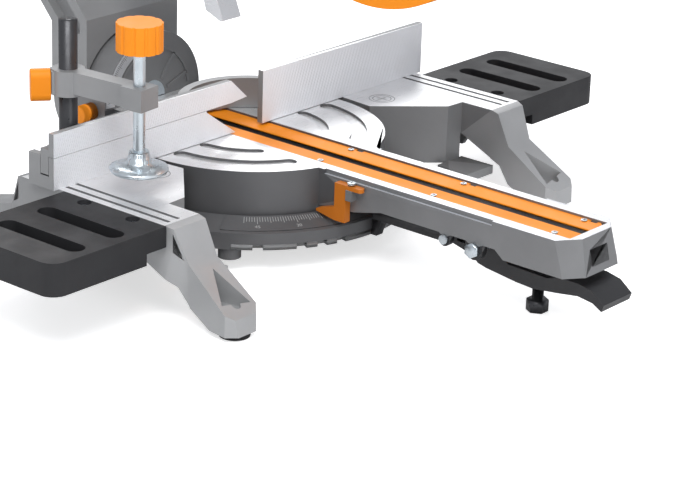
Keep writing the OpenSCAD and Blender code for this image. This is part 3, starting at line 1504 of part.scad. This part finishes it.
module clamp_spindle() {
    translate([clamp_x, clamp_y, 0]) {
        color(zinc) rod_z(spindle_r, pad_z + pad_t + face_gap, clamp_knob_z0);
        color(orange) translate([0, 0, clamp_knob_z0])
            fluted_knob(knob_r, clamp_knob_z1 - clamp_knob_z0, clamp_flutes, flute_d);
    }
}

base_casting();
rubber_feet();
mitre_scale();
detent_plate();
table_plugs();
wing_left();
wing_right();
wing_screws();
lower_fence();
fence_bolts();
sliding_fence();
fence_lock_knob();
turntable();
kerf_plate_left();
kerf_plate_right();
kerf_screws();
mitre_pointer();
pointer_screw();
pivot_bolt();
lever_pivot_bolt();
mitre_lock_lever();
detent_lever();
anti_tip_foot();
bevel_arm();
bevel_pivot_pin();
bevel_lock_lever();
bevel_stop_pin();
linear_bushes();
slide_lock_knob();
slide_rails();
rail_end_cap();
carriage();
chop_pivot_shaft();
return_spring();
chip_deflector();
head_casting();
upper_guard();
gearbox_cover();
motor_housing();
motor_end_cap();
motor_stator();
motor_bearings();
carbon_brushes();
armature();
cooling_fan();
handle_left();
handle_right();
trigger();
lock_off_button();
spindle_lock_button();
lower_guard();
saw_blade();
arbor();
drive_gear();
clamp_post();
clamp_arm();
clamp_lock_knob();
clamp_pad();
clamp_spindle();
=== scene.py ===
"""Looks of a sliding compound mitre saw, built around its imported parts.

Metres, in the parts' own frame: +Z up, +X to the right along the fence, +Y to the rear.
"""
import json
import math

import bmesh
import bpy
from mathutils import Matrix, Vector


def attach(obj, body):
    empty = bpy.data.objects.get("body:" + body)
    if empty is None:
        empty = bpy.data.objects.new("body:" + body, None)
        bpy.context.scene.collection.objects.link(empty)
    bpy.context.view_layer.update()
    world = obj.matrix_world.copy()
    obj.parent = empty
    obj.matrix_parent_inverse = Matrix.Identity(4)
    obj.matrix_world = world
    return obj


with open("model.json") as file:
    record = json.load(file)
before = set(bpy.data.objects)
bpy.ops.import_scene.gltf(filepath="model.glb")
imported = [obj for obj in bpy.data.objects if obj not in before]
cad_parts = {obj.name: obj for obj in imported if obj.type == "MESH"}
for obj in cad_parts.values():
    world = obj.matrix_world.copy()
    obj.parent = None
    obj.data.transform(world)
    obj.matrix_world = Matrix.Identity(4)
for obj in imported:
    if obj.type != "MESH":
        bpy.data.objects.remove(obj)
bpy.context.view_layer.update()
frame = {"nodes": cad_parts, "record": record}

NODES = frame["nodes"]
BODY_OF = {n: b for b, names in frame["record"]["behaviour"]["bodies"].items() for n in names}
MM = 0.001

# Sizes shared with the parts
TABLE_Z = 83 * MM
TURN_TOP = 82.6 * MM
WELL_R, RING_R = 123 * MM, 146 * MM
RING_TOP_Z, RING_EDGE_Z = 44 * MM, 36 * MM
DISC_REACH = 140 * MM
PLUG_X, PLUG_Y = 150 * MM, -28 * MM
BLADE_Y, BLADE_Z = -0.138, 0.355
TRUNNION_FRONT_Y = 122 * MM

# Camera: the photograph's viewpoint, worked out from the fence, tables, turntable and arm
CAMERA_AZIMUTH, CAMERA_ELEVATION, CAMERA_ROLL = -50.51, 20.66, 2.02
CAMERA_DISTANCE = 2.01877
CAMERA_TARGET = Vector((-0.19930, -0.28342, 0.10600))
CAMERA_LENS = 134.73
PHOTO_WIDTH = 36.0

# Lamps: name, place, point aimed at, size and watts
LAMPS = (
    ("key", (-1.3, -0.9, 2.3), (0, -0.05, 0.1), (1.6, 1.2), 46),
    ("fill", (-0.6, -2.6, 1.2), (0, 0, 0.1), (2.0, 1.2), 12),
    ("rim", (1.6, 1.6, 1.9), (0, 0, 0.2), (1.6, 1.2), 30),
)
WHITE = (1, 1, 1, 1)
WORLD_COLOUR, WORLD_STRENGTH = (0.93, 0.95, 1.0, 1), 0.62
FLOOR_COLOUR, FLOOR_GLOW = (0.86, 0.86, 0.86, 1), 0.62
FLOOR_REACH, FLOOR_DROP = 9.0, 0.0004


def add_camera():
    a, e, roll = (math.radians(v) for v in (CAMERA_AZIMUTH, CAMERA_ELEVATION, CAMERA_ROLL))
    back = Vector((math.sin(a) * math.cos(e), -math.cos(a) * math.cos(e), math.sin(e)))
    right = Vector((math.cos(a), math.sin(a), 0))
    up = back.cross(right)
    right, up = (right * math.cos(roll) + up * math.sin(roll),
                 up * math.cos(roll) - right * math.sin(roll))
    data = bpy.data.cameras.new("camera")
    data.lens = CAMERA_LENS
    data.sensor_width = PHOTO_WIDTH
    data.clip_start, data.clip_end = 0.05, 60
    camera = bpy.data.objects.new("camera", data)
    camera.matrix_world = Matrix((right, up, back)).transposed().to_4x4()
    camera.location = CAMERA_TARGET + back * CAMERA_DISTANCE
    bpy.context.scene.collection.objects.link(camera)
    bpy.context.scene.camera = camera


def add_light(name, place, target, size, watts):
    data = bpy.data.lights.new(name, "AREA")
    data.shape = "RECTANGLE"
    data.size, data.size_y = size
    data.energy = watts
    lamp = bpy.data.objects.new(name, data)
    lamp.location = place
    lamp.rotation_euler = (Vector(target) - Vector(place)).to_track_quat("-Z", "Y").to_euler()
    bpy.context.scene.collection.objects.link(lamp)


def seen_rays(nodes, links):
    """A socket that is 1 for camera and transmission rays, and 0 for all others."""
    path, seen = nodes.new("ShaderNodeLightPath"), nodes.new("ShaderNodeMath")
    seen.operation = "MAXIMUM"
    links.new(path.outputs["Is Camera Ray"], seen.inputs[0])
    links.new(path.outputs["Is Transmission Ray"], seen.inputs[1])
    return seen.outputs[0]


def add_world():
    """Soft light from all round, which the camera sees as plain white."""
    scene = bpy.context.scene
    scene.view_settings.view_transform = "Standard"
    world = bpy.data.worlds.new("studio")
    scene.world = world
    world.use_nodes = True
    nodes, links = world.node_tree.nodes, world.node_tree.links
    nodes.clear()
    out, mix = nodes.new("ShaderNodeOutputWorld"), nodes.new("ShaderNodeMixShader")
    soft, white = nodes.new("ShaderNodeBackground"), nodes.new("ShaderNodeBackground")
    soft.inputs["Color"].default_value = WORLD_COLOUR
    soft.inputs["Strength"].default_value = WORLD_STRENGTH
    white.inputs["Color"].default_value = WHITE
    links.new(seen_rays(nodes, links), mix.inputs[0])
    links.new(soft.outputs[0], mix.inputs[1])
    links.new(white.outputs[0], mix.inputs[2])
    links.new(mix.outputs[0], out.inputs["Surface"])


def add_floor():
    """A pale floor, which glows to the camera so that it runs into the white behind it."""
    mesh = bpy.data.meshes.new("floor")
    r = FLOOR_REACH
    mesh.from_pydata([(-r, -r, 0), (r, -r, 0), (r, r, 0), (-r, r, 0)], [], [(0, 1, 2, 3)])
    floor = bpy.data.objects.new("floor", mesh)
    floor.location.z = -FLOOR_DROP
    bpy.context.scene.collection.objects.link(floor)
    paint = bpy.data.materials.new("floor_paint")
    paint.use_nodes = True
    nodes, links = paint.node_tree.nodes, paint.node_tree.links
    bsdf = nodes["Principled BSDF"]
    bsdf.inputs["Base Color"].default_value = FLOOR_COLOUR
    bsdf.inputs["Roughness"].default_value = 0.9
    bsdf.inputs["Specular IOR Level"].default_value = 0.1
    bsdf.inputs["Emission Color"].default_value = WHITE
    glow = nodes.new("ShaderNodeMath")
    glow.operation = "MULTIPLY"
    glow.inputs[1].default_value = FLOOR_GLOW
    links.new(seen_rays(nodes, links), glow.inputs[0])
    links.new(glow.outputs[0], bsdf.inputs["Emission Strength"])
    mesh.materials.append(paint)


class Paint:
    """A procedural material: mottled colour, uneven roughness and a fine bump."""

    def __init__(self, name, colour, roughness, metallic=0.0, specular=0.5):
        self.mat = bpy.data.materials.new(name)
        self.mat.use_nodes = True
        self.tree = self.mat.node_tree
        self.bsdf = self.tree.nodes["Principled BSDF"]
        self.bsdf.inputs["Metallic"].default_value = metallic
        self.bsdf.inputs["Specular IOR Level"].default_value = specular
        self.bsdf.inputs["Roughness"].default_value = roughness
        self.colour = (*colour, 1)
        self.coords = self.node("ShaderNodeTexCoord").outputs["Object"]
        self.height = None

    def node(self, kind, **settings):
        made = self.tree.nodes.new(kind)
        for key, value in settings.items():
            setattr(made, key, value)
        return made

    def link(self, a, b):
        self.tree.links.new(a, b)

    def math(self, operation, a, b=0.0):
        made = self.node("ShaderNodeMath", operation=operation)
        for socket, value in zip(made.inputs, (a, b)):
            if isinstance(value, (int, float)):
                socket.default_value = value
            else:
                self.link(value, socket)
        return made.outputs[0]

    def split(self):
        """The X, Y and Z sockets of the place on the object."""
        made = self.node("ShaderNodeSeparateXYZ")
        self.link(self.coords, made.inputs[0])
        return made.outputs

    def noise(self, size, detail=3.0, stretch=(1, 1, 1)):
        """Noise whose grains are about size metres across, stretched along the axes."""
        mapping = self.node("ShaderNodeMapping")
        mapping.inputs["Scale"].default_value = [1 / (size * s) for s in stretch]
        self.link(self.coords, mapping.inputs["Vector"])
        made = self.node("ShaderNodeTexNoise")
        made.inputs["Scale"].default_value = 1
        made.inputs["Detail"].default_value = detail
        self.link(mapping.outputs[0], made.inputs["Vector"])
        return made.outputs["Fac"]

    def spread(self, value, low, high):
        """Brings noise, which lies mostly from 0.3 to 0.7, to the range from low to high."""
        made = self.node("ShaderNodeMapRange")
        made.inputs["From Min"].default_value, made.inputs["From Max"].default_value = 0.3, 0.7
        made.inputs["To Min"].default_value, made.inputs["To Max"].default_value = low, high
        self.link(value, made.inputs["Value"])
        return made.outputs[0]

    def mottle(self, value, amount):
        """Colour that goes amount lighter and darker with the value."""
        ramp = self.node("ShaderNodeMix", data_type="RGBA")
        low = [c * (1 - amount) for c in self.colour[:3]] + [1]
        high = [min(1, c * (1 + amount)) for c in self.colour[:3]] + [1]
        ramp.inputs["A"].default_value, ramp.inputs["B"].default_value = low, high
        self.link(self.spread(value, 0, 1), ramp.inputs["Factor"])
        self.link(ramp.outputs["Result"], self.bsdf.inputs["Base Color"])

    def uneven(self, value, low, high):
        """Roughness that goes from low to high with the value."""
        self.link(self.spread(value, low, high), self.bsdf.inputs["Roughness"])

    def bump(self, value, depth):
        """Adds a height of depth metres to the bump."""
        step = self.math("MULTIPLY", value, depth)
        self.height = step if self.height is None else self.math("ADD", self.height, step)

    def done(self):
        if self.height is not None:
            bump = self.node("ShaderNodeBump")
            bump.inputs["Distance"].default_value = 1.0
            bump.inputs["Strength"].default_value = 1.0
            self.link(self.height, bump.inputs["Height"])
            self.link(bump.outputs[0], self.bsdf.inputs["Normal"])
        return self.mat


def cast_paint(name, colour):
    """Painted die casting: a satin skin with the casting's fine grain under it."""
    p = Paint(name, colour, 0.42, metallic=0.35)
    p.mottle(p.noise(55 * MM, 4), 0.07)
    p.uneven(p.noise(14 * MM), 0.35, 0.5)
    p.bump(p.noise(0.9 * MM, 2), 0.035 * MM)
    p.bump(p.noise(9 * MM, 2), 0.05 * MM)
    return p.done()


def milled_metal(name, colour, along):
    """Machined aluminium with fine cutter lines along one axis."""
    pitch = 0.5 * MM
    stretch = (60, 1, 1) if along == "x" else (1, 60, 1)
    p = Paint(name, colour, 0.34, metallic=0.75)
    p.mottle(p.noise(30 * MM, 4), 0.05)
    p.uneven(p.noise(pitch, 2, stretch), 0.26, 0.44)
    p.bump(p.noise(pitch, 2, stretch), 0.012 * MM)
    return p.done()


def serrated_metal(name, colour):
    """Fence face: fine slanting serrations that cross, as an extruded and knurled face has."""
    pitch = 2.1 * MM
    p = Paint(name, colour, 0.42, metallic=0.25)
    p.mottle(p.noise(60 * MM, 3), 0.04)
    p.uneven(p.noise(20 * MM), 0.36, 0.5)
    place = p.split()
    for slope in (0.25, -0.6):
        slant = p.math("MULTIPLY", place["Z"], slope)
        turn = p.math("MULTIPLY", p.math("ADD", place["X"], slant), 2 * math.pi / pitch)
        p.bump(p.math("SINE", turn), 0.11 * MM)
    return p.done()


def moulded_plastic(name, colour, roughness=0.45, grain=0.6, depth=0.02, specular=0.45):
    """Moulded plastic or rubber with a fine grain, whose size and depth are in millimetres."""
    p = Paint(name, colour, roughness, specular=specular)
    p.mottle(p.noise(70 * MM, 3), 0.06)
    p.uneven(p.noise(25 * MM), roughness - 0.06, roughness + 0.07)
    p.bump(p.noise(grain * MM, 2), depth * MM)
    return p.done()


def plated_metal(name, colour, roughness, metallic=1.0):
    """Plated or blackened steel, nearly smooth."""
    p = Paint(name, colour, roughness, metallic=metallic)
    p.mottle(p.noise(12 * MM, 4), 0.05)
    p.uneven(p.noise(6 * MM), roughness - 0.08, roughness + 0.1)
    p.bump(p.noise(1.5 * MM), 0.002 * MM)
    return p.done()


def brushed_disc(name, colour):
    """Ground steel with fine rings about the blade's axis."""
    pitch = 2.4 * MM
    p = Paint(name, colour, 0.3, metallic=1.0)
    place = p.split()
    dy = p.math("SUBTRACT", place["Y"], BLADE_Y)
    dz = p.math("SUBTRACT", place["Z"], BLADE_Z)
    square = p.math("ADD", p.math("MULTIPLY", dy, dy), p.math("MULTIPLY", dz, dz))
    turn = p.math("MULTIPLY", p.math("SQRT", square), 2 * math.pi / pitch)
    p.mottle(p.noise(60 * MM, 2), 0.04)
    p.uneven(p.noise(30 * MM, 2), 0.26, 0.36)
    p.bump(p.math("SINE", turn), 0.005 * MM)
    return p.done()


M = {
    "cast": cast_paint("cast_grey", (0.275, 0.278, 0.282)),
    "cast_light": cast_paint("cast_light", (0.40, 0.405, 0.41)),
    "cast_mid": cast_paint("cast_mid", (0.20, 0.202, 0.206)),
    "cast_dark": cast_paint("cast_dark", (0.115, 0.116, 0.12)),
    # painted highlight: a pale bluish grey for the lit tops of the arm's side ledges
    "ledge_highlight": cast_paint("cast_ledge_highlight", (0.55, 0.58, 0.62)),
    "milled": milled_metal("milled_table", (0.86, 0.865, 0.87), "x"),
    "milled_side": milled_metal("milled_side", (0.70, 0.71, 0.73), "y"),
    "fence": serrated_metal("fence_serrated", (0.88, 0.895, 0.93)),
    "wing": moulded_plastic("wing_black", (0.022, 0.022, 0.024), 0.55, 0.5, 0.03, 0.3),
    "black": moulded_plastic("moulded_black", (0.020, 0.020, 0.022), 0.42),
    "black_steel": plated_metal("black_steel", (0.06, 0.061, 0.065), 0.34, 0.6),
    "orange": moulded_plastic("moulded_orange", (0.88, 0.27, 0.010), 0.48, 0.5, 0.012, 0.25),
    "orange_dark": moulded_plastic("pointer_orange", (0.50, 0.145, 0.012), 0.5, 0.5, 0.012, 0.25),
    "zinc": plated_metal("zinc_plate", (0.62, 0.68, 0.72), 0.30),
    "chrome": plated_metal("hard_chrome", (0.82, 0.83, 0.84), 0.12),
    "blade": brushed_disc("blade_steel", (0.62, 0.62, 0.63)),
    "core": plated_metal("core_steel", (0.16, 0.16, 0.165), 0.45, 0.8),
    "carbon": moulded_plastic("carbon", (0.02, 0.02, 0.02), 0.6),
    "rubber": moulded_plastic("rubber", (0.014, 0.014, 0.015), 0.75, 0.8, 0.04, 0.3),
    "mark": moulded_plastic("scale_marks", (0.42, 0.42, 0.42), 0.6),
}
SLOT_PAINT = {
    "cast_light": "cast", "cast_dark": "cast_dark", "machined_aluminium": "fence",
    "black_plastic": "black", "black_steel": "black_steel", "orange_plastic": "orange",
    "zinc_steel": "zinc", "chrome_steel": "chrome", "blade_steel": "blade",
    "motor_steel": "core", "carbon": "carbon", "rubber": "rubber",
}
# Nodes whose paint differs from their slot's
NODE_PAINT = {
    "wing_left": "wing", "wing_right": "wing", "table_plugs": "milled",
    "chip_deflector": "milled_side", "clamp_post": "black_steel", "detent_plate": "cast",
    "mitre_scale": "cast_dark", "detent_lever": "black", "mitre_pointer": "orange_dark",
    "turntable": "cast_mid",
}
# Rounding of each node's sharp edges, in millimetres
ROUND = {
    "base_casting": 1.3, "turntable": 0.7, "bevel_arm": 1.6, "carriage": 1.2,
    "head_casting": 1.4, "gearbox_cover": 1.2, "wing_left": 1.4, "wing_right": 1.4,
    "lower_fence": 0.5, "sliding_fence": 0.5, "clamp_arm": 0.8, "motor_housing": 1.0,
    "motor_end_cap": 1.4, "handle_left": 2.0, "handle_right": 2.0, "mitre_lock_lever": 1.0,
    "clamp_spindle": 0.5, "clamp_lock_knob": 0.8, "slide_lock_knob": 0.6,
    "fence_lock_knob": 0.6, "upper_guard": 0.4, "lower_guard": 0.4, "chip_deflector": 0.5,
    "rail_end_cap": 1.0, "mitre_pointer": 0.6, "trigger": 1.0, "rubber_feet": 0.8,
}
SHARP = math.radians(32)
FLAT = math.radians(0.6)
SAME_POINT = 2e-6


def dress_nodes():
    """Paints every CAD node, and rounds its edges with modifiers, which leave its shape alone."""
    slots = {s["node"]: s["material_slot"] for s in frame["record"]["subparts"]}
    for name, obj in NODES.items():
        mesh = obj.data
        mesh.materials.clear()
        mesh.materials.append(M[NODE_PAINT.get(name) or SLOT_PAINT[slots[name]]])
        for face in mesh.polygons:
            face.material_index = 0
            face.use_smooth = True
        if "custom_normal" in mesh.attributes:
            mesh.attributes.remove(mesh.attributes["custom_normal"])
        weld = obj.modifiers.new("weld", "WELD")
        weld.merge_threshold = SAME_POINT
        flat = obj.modifiers.new("flat", "DECIMATE")
        flat.decimate_type = "DISSOLVE"
        flat.angle_limit = FLAT
        flat.delimit = {"MATERIAL"}
        if name in ROUND:
            bevel = obj.modifiers.new("bevel", "BEVEL")
            bevel.width = ROUND[name] * MM
            bevel.segments = 2
            bevel.limit_method = "ANGLE"
            bevel.angle_limit = SHARP
            bevel.miter_outer = "MITER_ARC"
        normals = obj.modifiers.new("normals", "WEIGHTED_NORMAL")
        normals.keep_sharp = True
        mesh.set_sharp_from_angle(angle=SHARP)


def paint_faces(node, paint, wanted):
    """Gives the faces of a node that wanted(centre, normal) picks another paint."""
    mesh = NODES[node].data
    mesh.materials.append(M[paint])
    index = len(mesh.materials) - 1
    for face in mesh.polygons:
        if wanted(face.center, face.normal):
            face.material_index = index


def paint_machined_faces():
    """Milled, lighter and darker faces of the castings, with a painted highlight on the arm's side
    ledges and painted shade low on the arm's sides. A later paint goes over an earlier one.
    """
    level = 0.2 * MM                     # how far a milled face may lie from its height
    ring_reach, ring_top = 152 * MM, 48 * MM
    legs_y = -100 * MM                   # the front legs lie before it
    recess = 6 * MM                      # depth of the disc's arcs
    arm_y = -140 * MM                    # the arm leaves the disc here
    ledge_low, ledge_x = 68 * MM, 26 * MM
    shade_patch_x, shade_patch_top = 30 * MM, 57 * MM    # painted shade: black low on the arm's sides, where its hollow lies in shadow
    shade_patch_front, shade_patch_back = -292 * MM, -243 * MM
    fence_back, fence_top = 1 * MM, 3 * MM
    knob_z = 204 * MM                    # the clamp's knob begins here

    def near_axis(c, reach):
        return math.hypot(c.x, c.y) < reach

    paint_faces("base_casting", "cast_dark",
                lambda c, n: near_axis(c, ring_reach) and c.z < ring_top)
    paint_faces("base_casting", "cast_light",
                lambda c, n: c.y < legs_y and not near_axis(c, ring_reach))
    paint_faces("base_casting", "milled", lambda c, n: n.z > 0.99 and c.z > TABLE_Z - level)
    paint_faces("turntable", "cast_dark",
                lambda c, n: near_axis(c, DISC_REACH) and n.z < 0.5 and c.z < TURN_TOP)
    # painted highlight: the upward faces of the arm's side ledges get the pale paint for the light
    # they catch
    paint_faces("turntable", "ledge_highlight",
                lambda c, n: n.z > 0.5 and ledge_low < c.z < TURN_TOP - 1 * MM
                and c.y < arm_y and abs(c.x) > ledge_x)
    paint_faces("turntable", "milled",
                lambda c, n: n.z > 0.99 and TURN_TOP - recess < c.z < TURN_TOP + level
                and near_axis(c, DISC_REACH))
    paint_faces("turntable", "milled_side",
                lambda c, n: n.z > 0.99 and abs(c.z - TURN_TOP) < level
                and not near_axis(c, DISC_REACH))
    # painted shade: the lower sides of the arm, in the shadow of its hollow, are painted black
    paint_faces("turntable", "black",
                lambda c, n: abs(c.x) > shade_patch_x and c.z < shade_patch_top
                and shade_patch_front < c.y < shade_patch_back)
    for node in ("lower_fence", "sliding_fence"):
        paint_faces(node, "cast", lambda c, n: n.y > -0.5 or c.y > fence_back)
        paint_faces(node, "milled", lambda c, n: n.z > 0.9 and c.y < fence_top)
    paint_faces("clamp_spindle", "zinc", lambda c, n: c.z < knob_z)


def add_piece(name, mesh, body, paint):
    obj = bpy.data.objects.new(name, mesh)
    bpy.context.scene.collection.objects.link(obj)
    mesh.materials.clear()
    mesh.materials.append(M[paint])
    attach(obj, body)


def piece_from(bm, name, body, paint):
    bmesh.ops.recalc_face_normals(bm, faces=bm.faces)
    mesh = bpy.data.meshes.new(name)
    bm.to_mesh(mesh)
    bm.free()
    add_piece(name, mesh, body, paint)


def mark_length(degree, every_15, every_5, other):
    return every_15 if degree % 15 == 0 else every_5 if degree % 5 == 0 else other


def ring_point(radius, angle, up):
    """A point of the ring's sloped face, at an angle from the front that grows to the right."""
    share = (radius - WELL_R) / (RING_R - WELL_R)
    z = RING_TOP_Z + share * (RING_EDGE_Z - RING_TOP_Z) + up
    return Vector((radius * math.sin(angle), -radius * math.cos(angle), z))


def add_scale():
    """Degree marks and plain numbers on the ring's sloped face."""
    lift, half = 0.95 * MM, 0.24 * MM
    marks_start, numbers_at, number_size = 3.2, 15.6 * MM, 5.0 * MM
    side = half / RING_R
    bm = bmesh.new()
    for degree in range(-50, 51):
        long = mark_length(degree, 8.6, 7.4, 5.8)
        angle = math.radians(degree)
        inner, outer = WELL_R + marks_start * MM, WELL_R + (marks_start + long) * MM
        corners = [ring_point(r, angle + s, lift) for r, s in
                   ((inner, -side), (outer, -side), (outer, side), (inner, side))]
        bm.faces.new([bm.verts.new(c) for c in corners])
    mesh = bpy.data.meshes.new("scale_marks")
    bm.to_mesh(mesh)
    bm.free()
    add_piece("scale_marks", mesh, "base", "mark")

    slope = math.atan2(RING_TOP_Z - RING_EDGE_Z, RING_R - WELL_R)
    for degree in (-45, -30, -15, 0, 15, 30, 45):
        text = bpy.data.curves.new(f"scale_number_{degree}", "FONT")
        text.body = str(abs(degree))
        text.size = number_size
        text.align_x, text.align_y = "CENTER", "CENTER"
        obj = bpy.data.objects.new(f"scale_number_{degree}".replace("-", "l"), text)
        text.materials.append(M["mark"])
        angle = math.radians(degree)
        place = ring_point(WELL_R + numbers_at, angle, lift)
        obj.matrix_world = (Matrix.Translation(place) @ Matrix.Rotation(angle, 4, "Z")
                            @ Matrix.Rotation(slope, 4, "X"))
        bpy.context.scene.collection.objects.link(obj)
        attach(obj, "base")


def add_block(bm, size, matrix):
    bmesh.ops.create_cube(bm, size=1.0, matrix=matrix @ Matrix.Diagonal((*size, 1)))


def add_sector(bm, inner, outer, low, high, start, end, matrix, steps=40):
    """A closed flat ring sector about local Z, from low to high. The angles are in degrees."""
    full = abs(end - start) >= 360
    count = steps if full else steps + 1
    loops = []
    for i in range(count):
        angle = math.radians(start + (end - start) * i / steps)
        c, s = math.cos(angle), math.sin(angle)
        loops.append([bm.verts.new(matrix @ Vector((r * c, r * s, z)))
                      for r, z in ((inner, low), (outer, low), (outer, high), (inner, high))])
    for i in range(steps):
        a, b = loops[i], loops[(i + 1) % count]
        for k in range(4):
            bm.faces.new((a[k], a[(k + 1) % 4], b[(k + 1) % 4], b[k]))
    if not full:
        bm.faces.new(loops[0])
        bm.faces.new(loops[-1])


def islands(node):
    """The vertices of each separate solid of a node."""
    bm = bmesh.new()
    bm.from_mesh(NODES[node].data)
    bmesh.ops.remove_doubles(bm, verts=bm.verts, dist=SAME_POINT)
    left, groups = set(bm.verts), []
    while left:
        stack, group = [left.pop()], []
        while stack:
            vert = stack.pop()
            group.append(vert.co.copy())
            for edge in vert.link_edges:
                other = edge.other_vert(vert)
                if other in left:
                    left.remove(other)
                    stack.append(other)
        groups.append(group)
    bm.free()
    return sorted(groups, key=lambda g: (round(g[0].x, 5), round(g[0].y, 5), round(g[0].z, 5)))


def add_cross_recesses(node, reach):
    """Painted shade: a black cross, reach metres long, on the top of each screw of a node, for the
    shaded hollow of its recess.
    """
    width, height, skew = 0.7 * MM, 0.12 * MM, 0.4
    bm = bmesh.new()
    for group in islands(node):
        top = max(v.z for v in group)
        x = (max(v.x for v in group) + min(v.x for v in group)) / 2
        y = (max(v.y for v in group) + min(v.y for v in group)) / 2
        for turn in (skew, skew + math.pi / 2):
            place = Matrix.Translation((x, y, top)) @ Matrix.Rotation(turn, 4, "Z")
            add_block(bm, (reach, width, height), place)
    piece_from(bm, node + "_recess_shade", BODY_OF[node], "black")


def add_plug_rings():
    """The dark seam round each table plug, and a second ring inside it."""
    width, low, high = 0.5, -0.1 * MM, 0.08 * MM
    for name, x in (("left", -PLUG_X), ("right", PLUG_X)):
        bm = bmesh.new()
        place = Matrix.Translation((x, PLUG_Y, TABLE_Z))
        for radius in (12.2, 8.8):
            add_sector(bm, (radius - width) * MM, radius * MM, low, high, 0, 360, place, 64)
        piece_from(bm, f"plug_rings_{name}", "base", "cast_dark")


def add_trunnion_details():
    """Bevel scale and ribs on the trunnion's front, round the bevel axis. Local Z is forward."""
    front = (Matrix.Translation((0, TRUNNION_FRONT_Y, TABLE_Z))
             @ Matrix.Rotation(math.radians(90), 4, "X"))
    scale_face = 0.9 * MM
    marks_outer, marks_start, marks_step = 59.6, 95, 1.75
    ribs_at, rib_size = 33 * MM, (27 * MM, 3.2 * MM, 2 * MM)

    def on_front(degrees, radius, up):
        return (front @ Matrix.Rotation(math.radians(degrees), 4, "Z")
                @ Matrix.Translation((radius, 0, up)))

    bm = bmesh.new()
    add_sector(bm, 50 * MM, 60.5 * MM, -0.2 * MM, scale_face, 92, 178, front)
    piece_from(bm, "bevel_scale", "turntable", "milled_side")

    bm = bmesh.new()
    for degree in range(0, 46):
        long = mark_length(degree, 5.5, 4.5, 3)
        place = on_front(marks_start + degree * marks_step, (marks_outer - long / 2) * MM,
                         scale_face)
        add_block(bm, (long * MM, 0.35 * MM, 0.1 * MM), place)
    piece_from(bm, "bevel_scale_marks", "turntable", "black")

    bm = bmesh.new()
    add_sector(bm, 45.5 * MM, 48 * MM, -0.3 * MM, 1.6 * MM, 8, 172, front)
    for degree in (20, 55, 125, 160):
        add_block(bm, rib_size, on_front(degree, ribs_at, 0.6 * MM))
    piece_from(bm, "trunnion_ribs", "turntable", "cast_mid")


add_camera()
add_world()
for lamp in LAMPS:
    add_light(*lamp)
add_floor()
dress_nodes()
paint_machined_faces()
add_scale()
add_cross_recesses("kerf_screws", 3.4 * MM)
add_cross_recesses("pointer_screw", 5 * MM)
add_plug_rings()
add_trunnion_details()
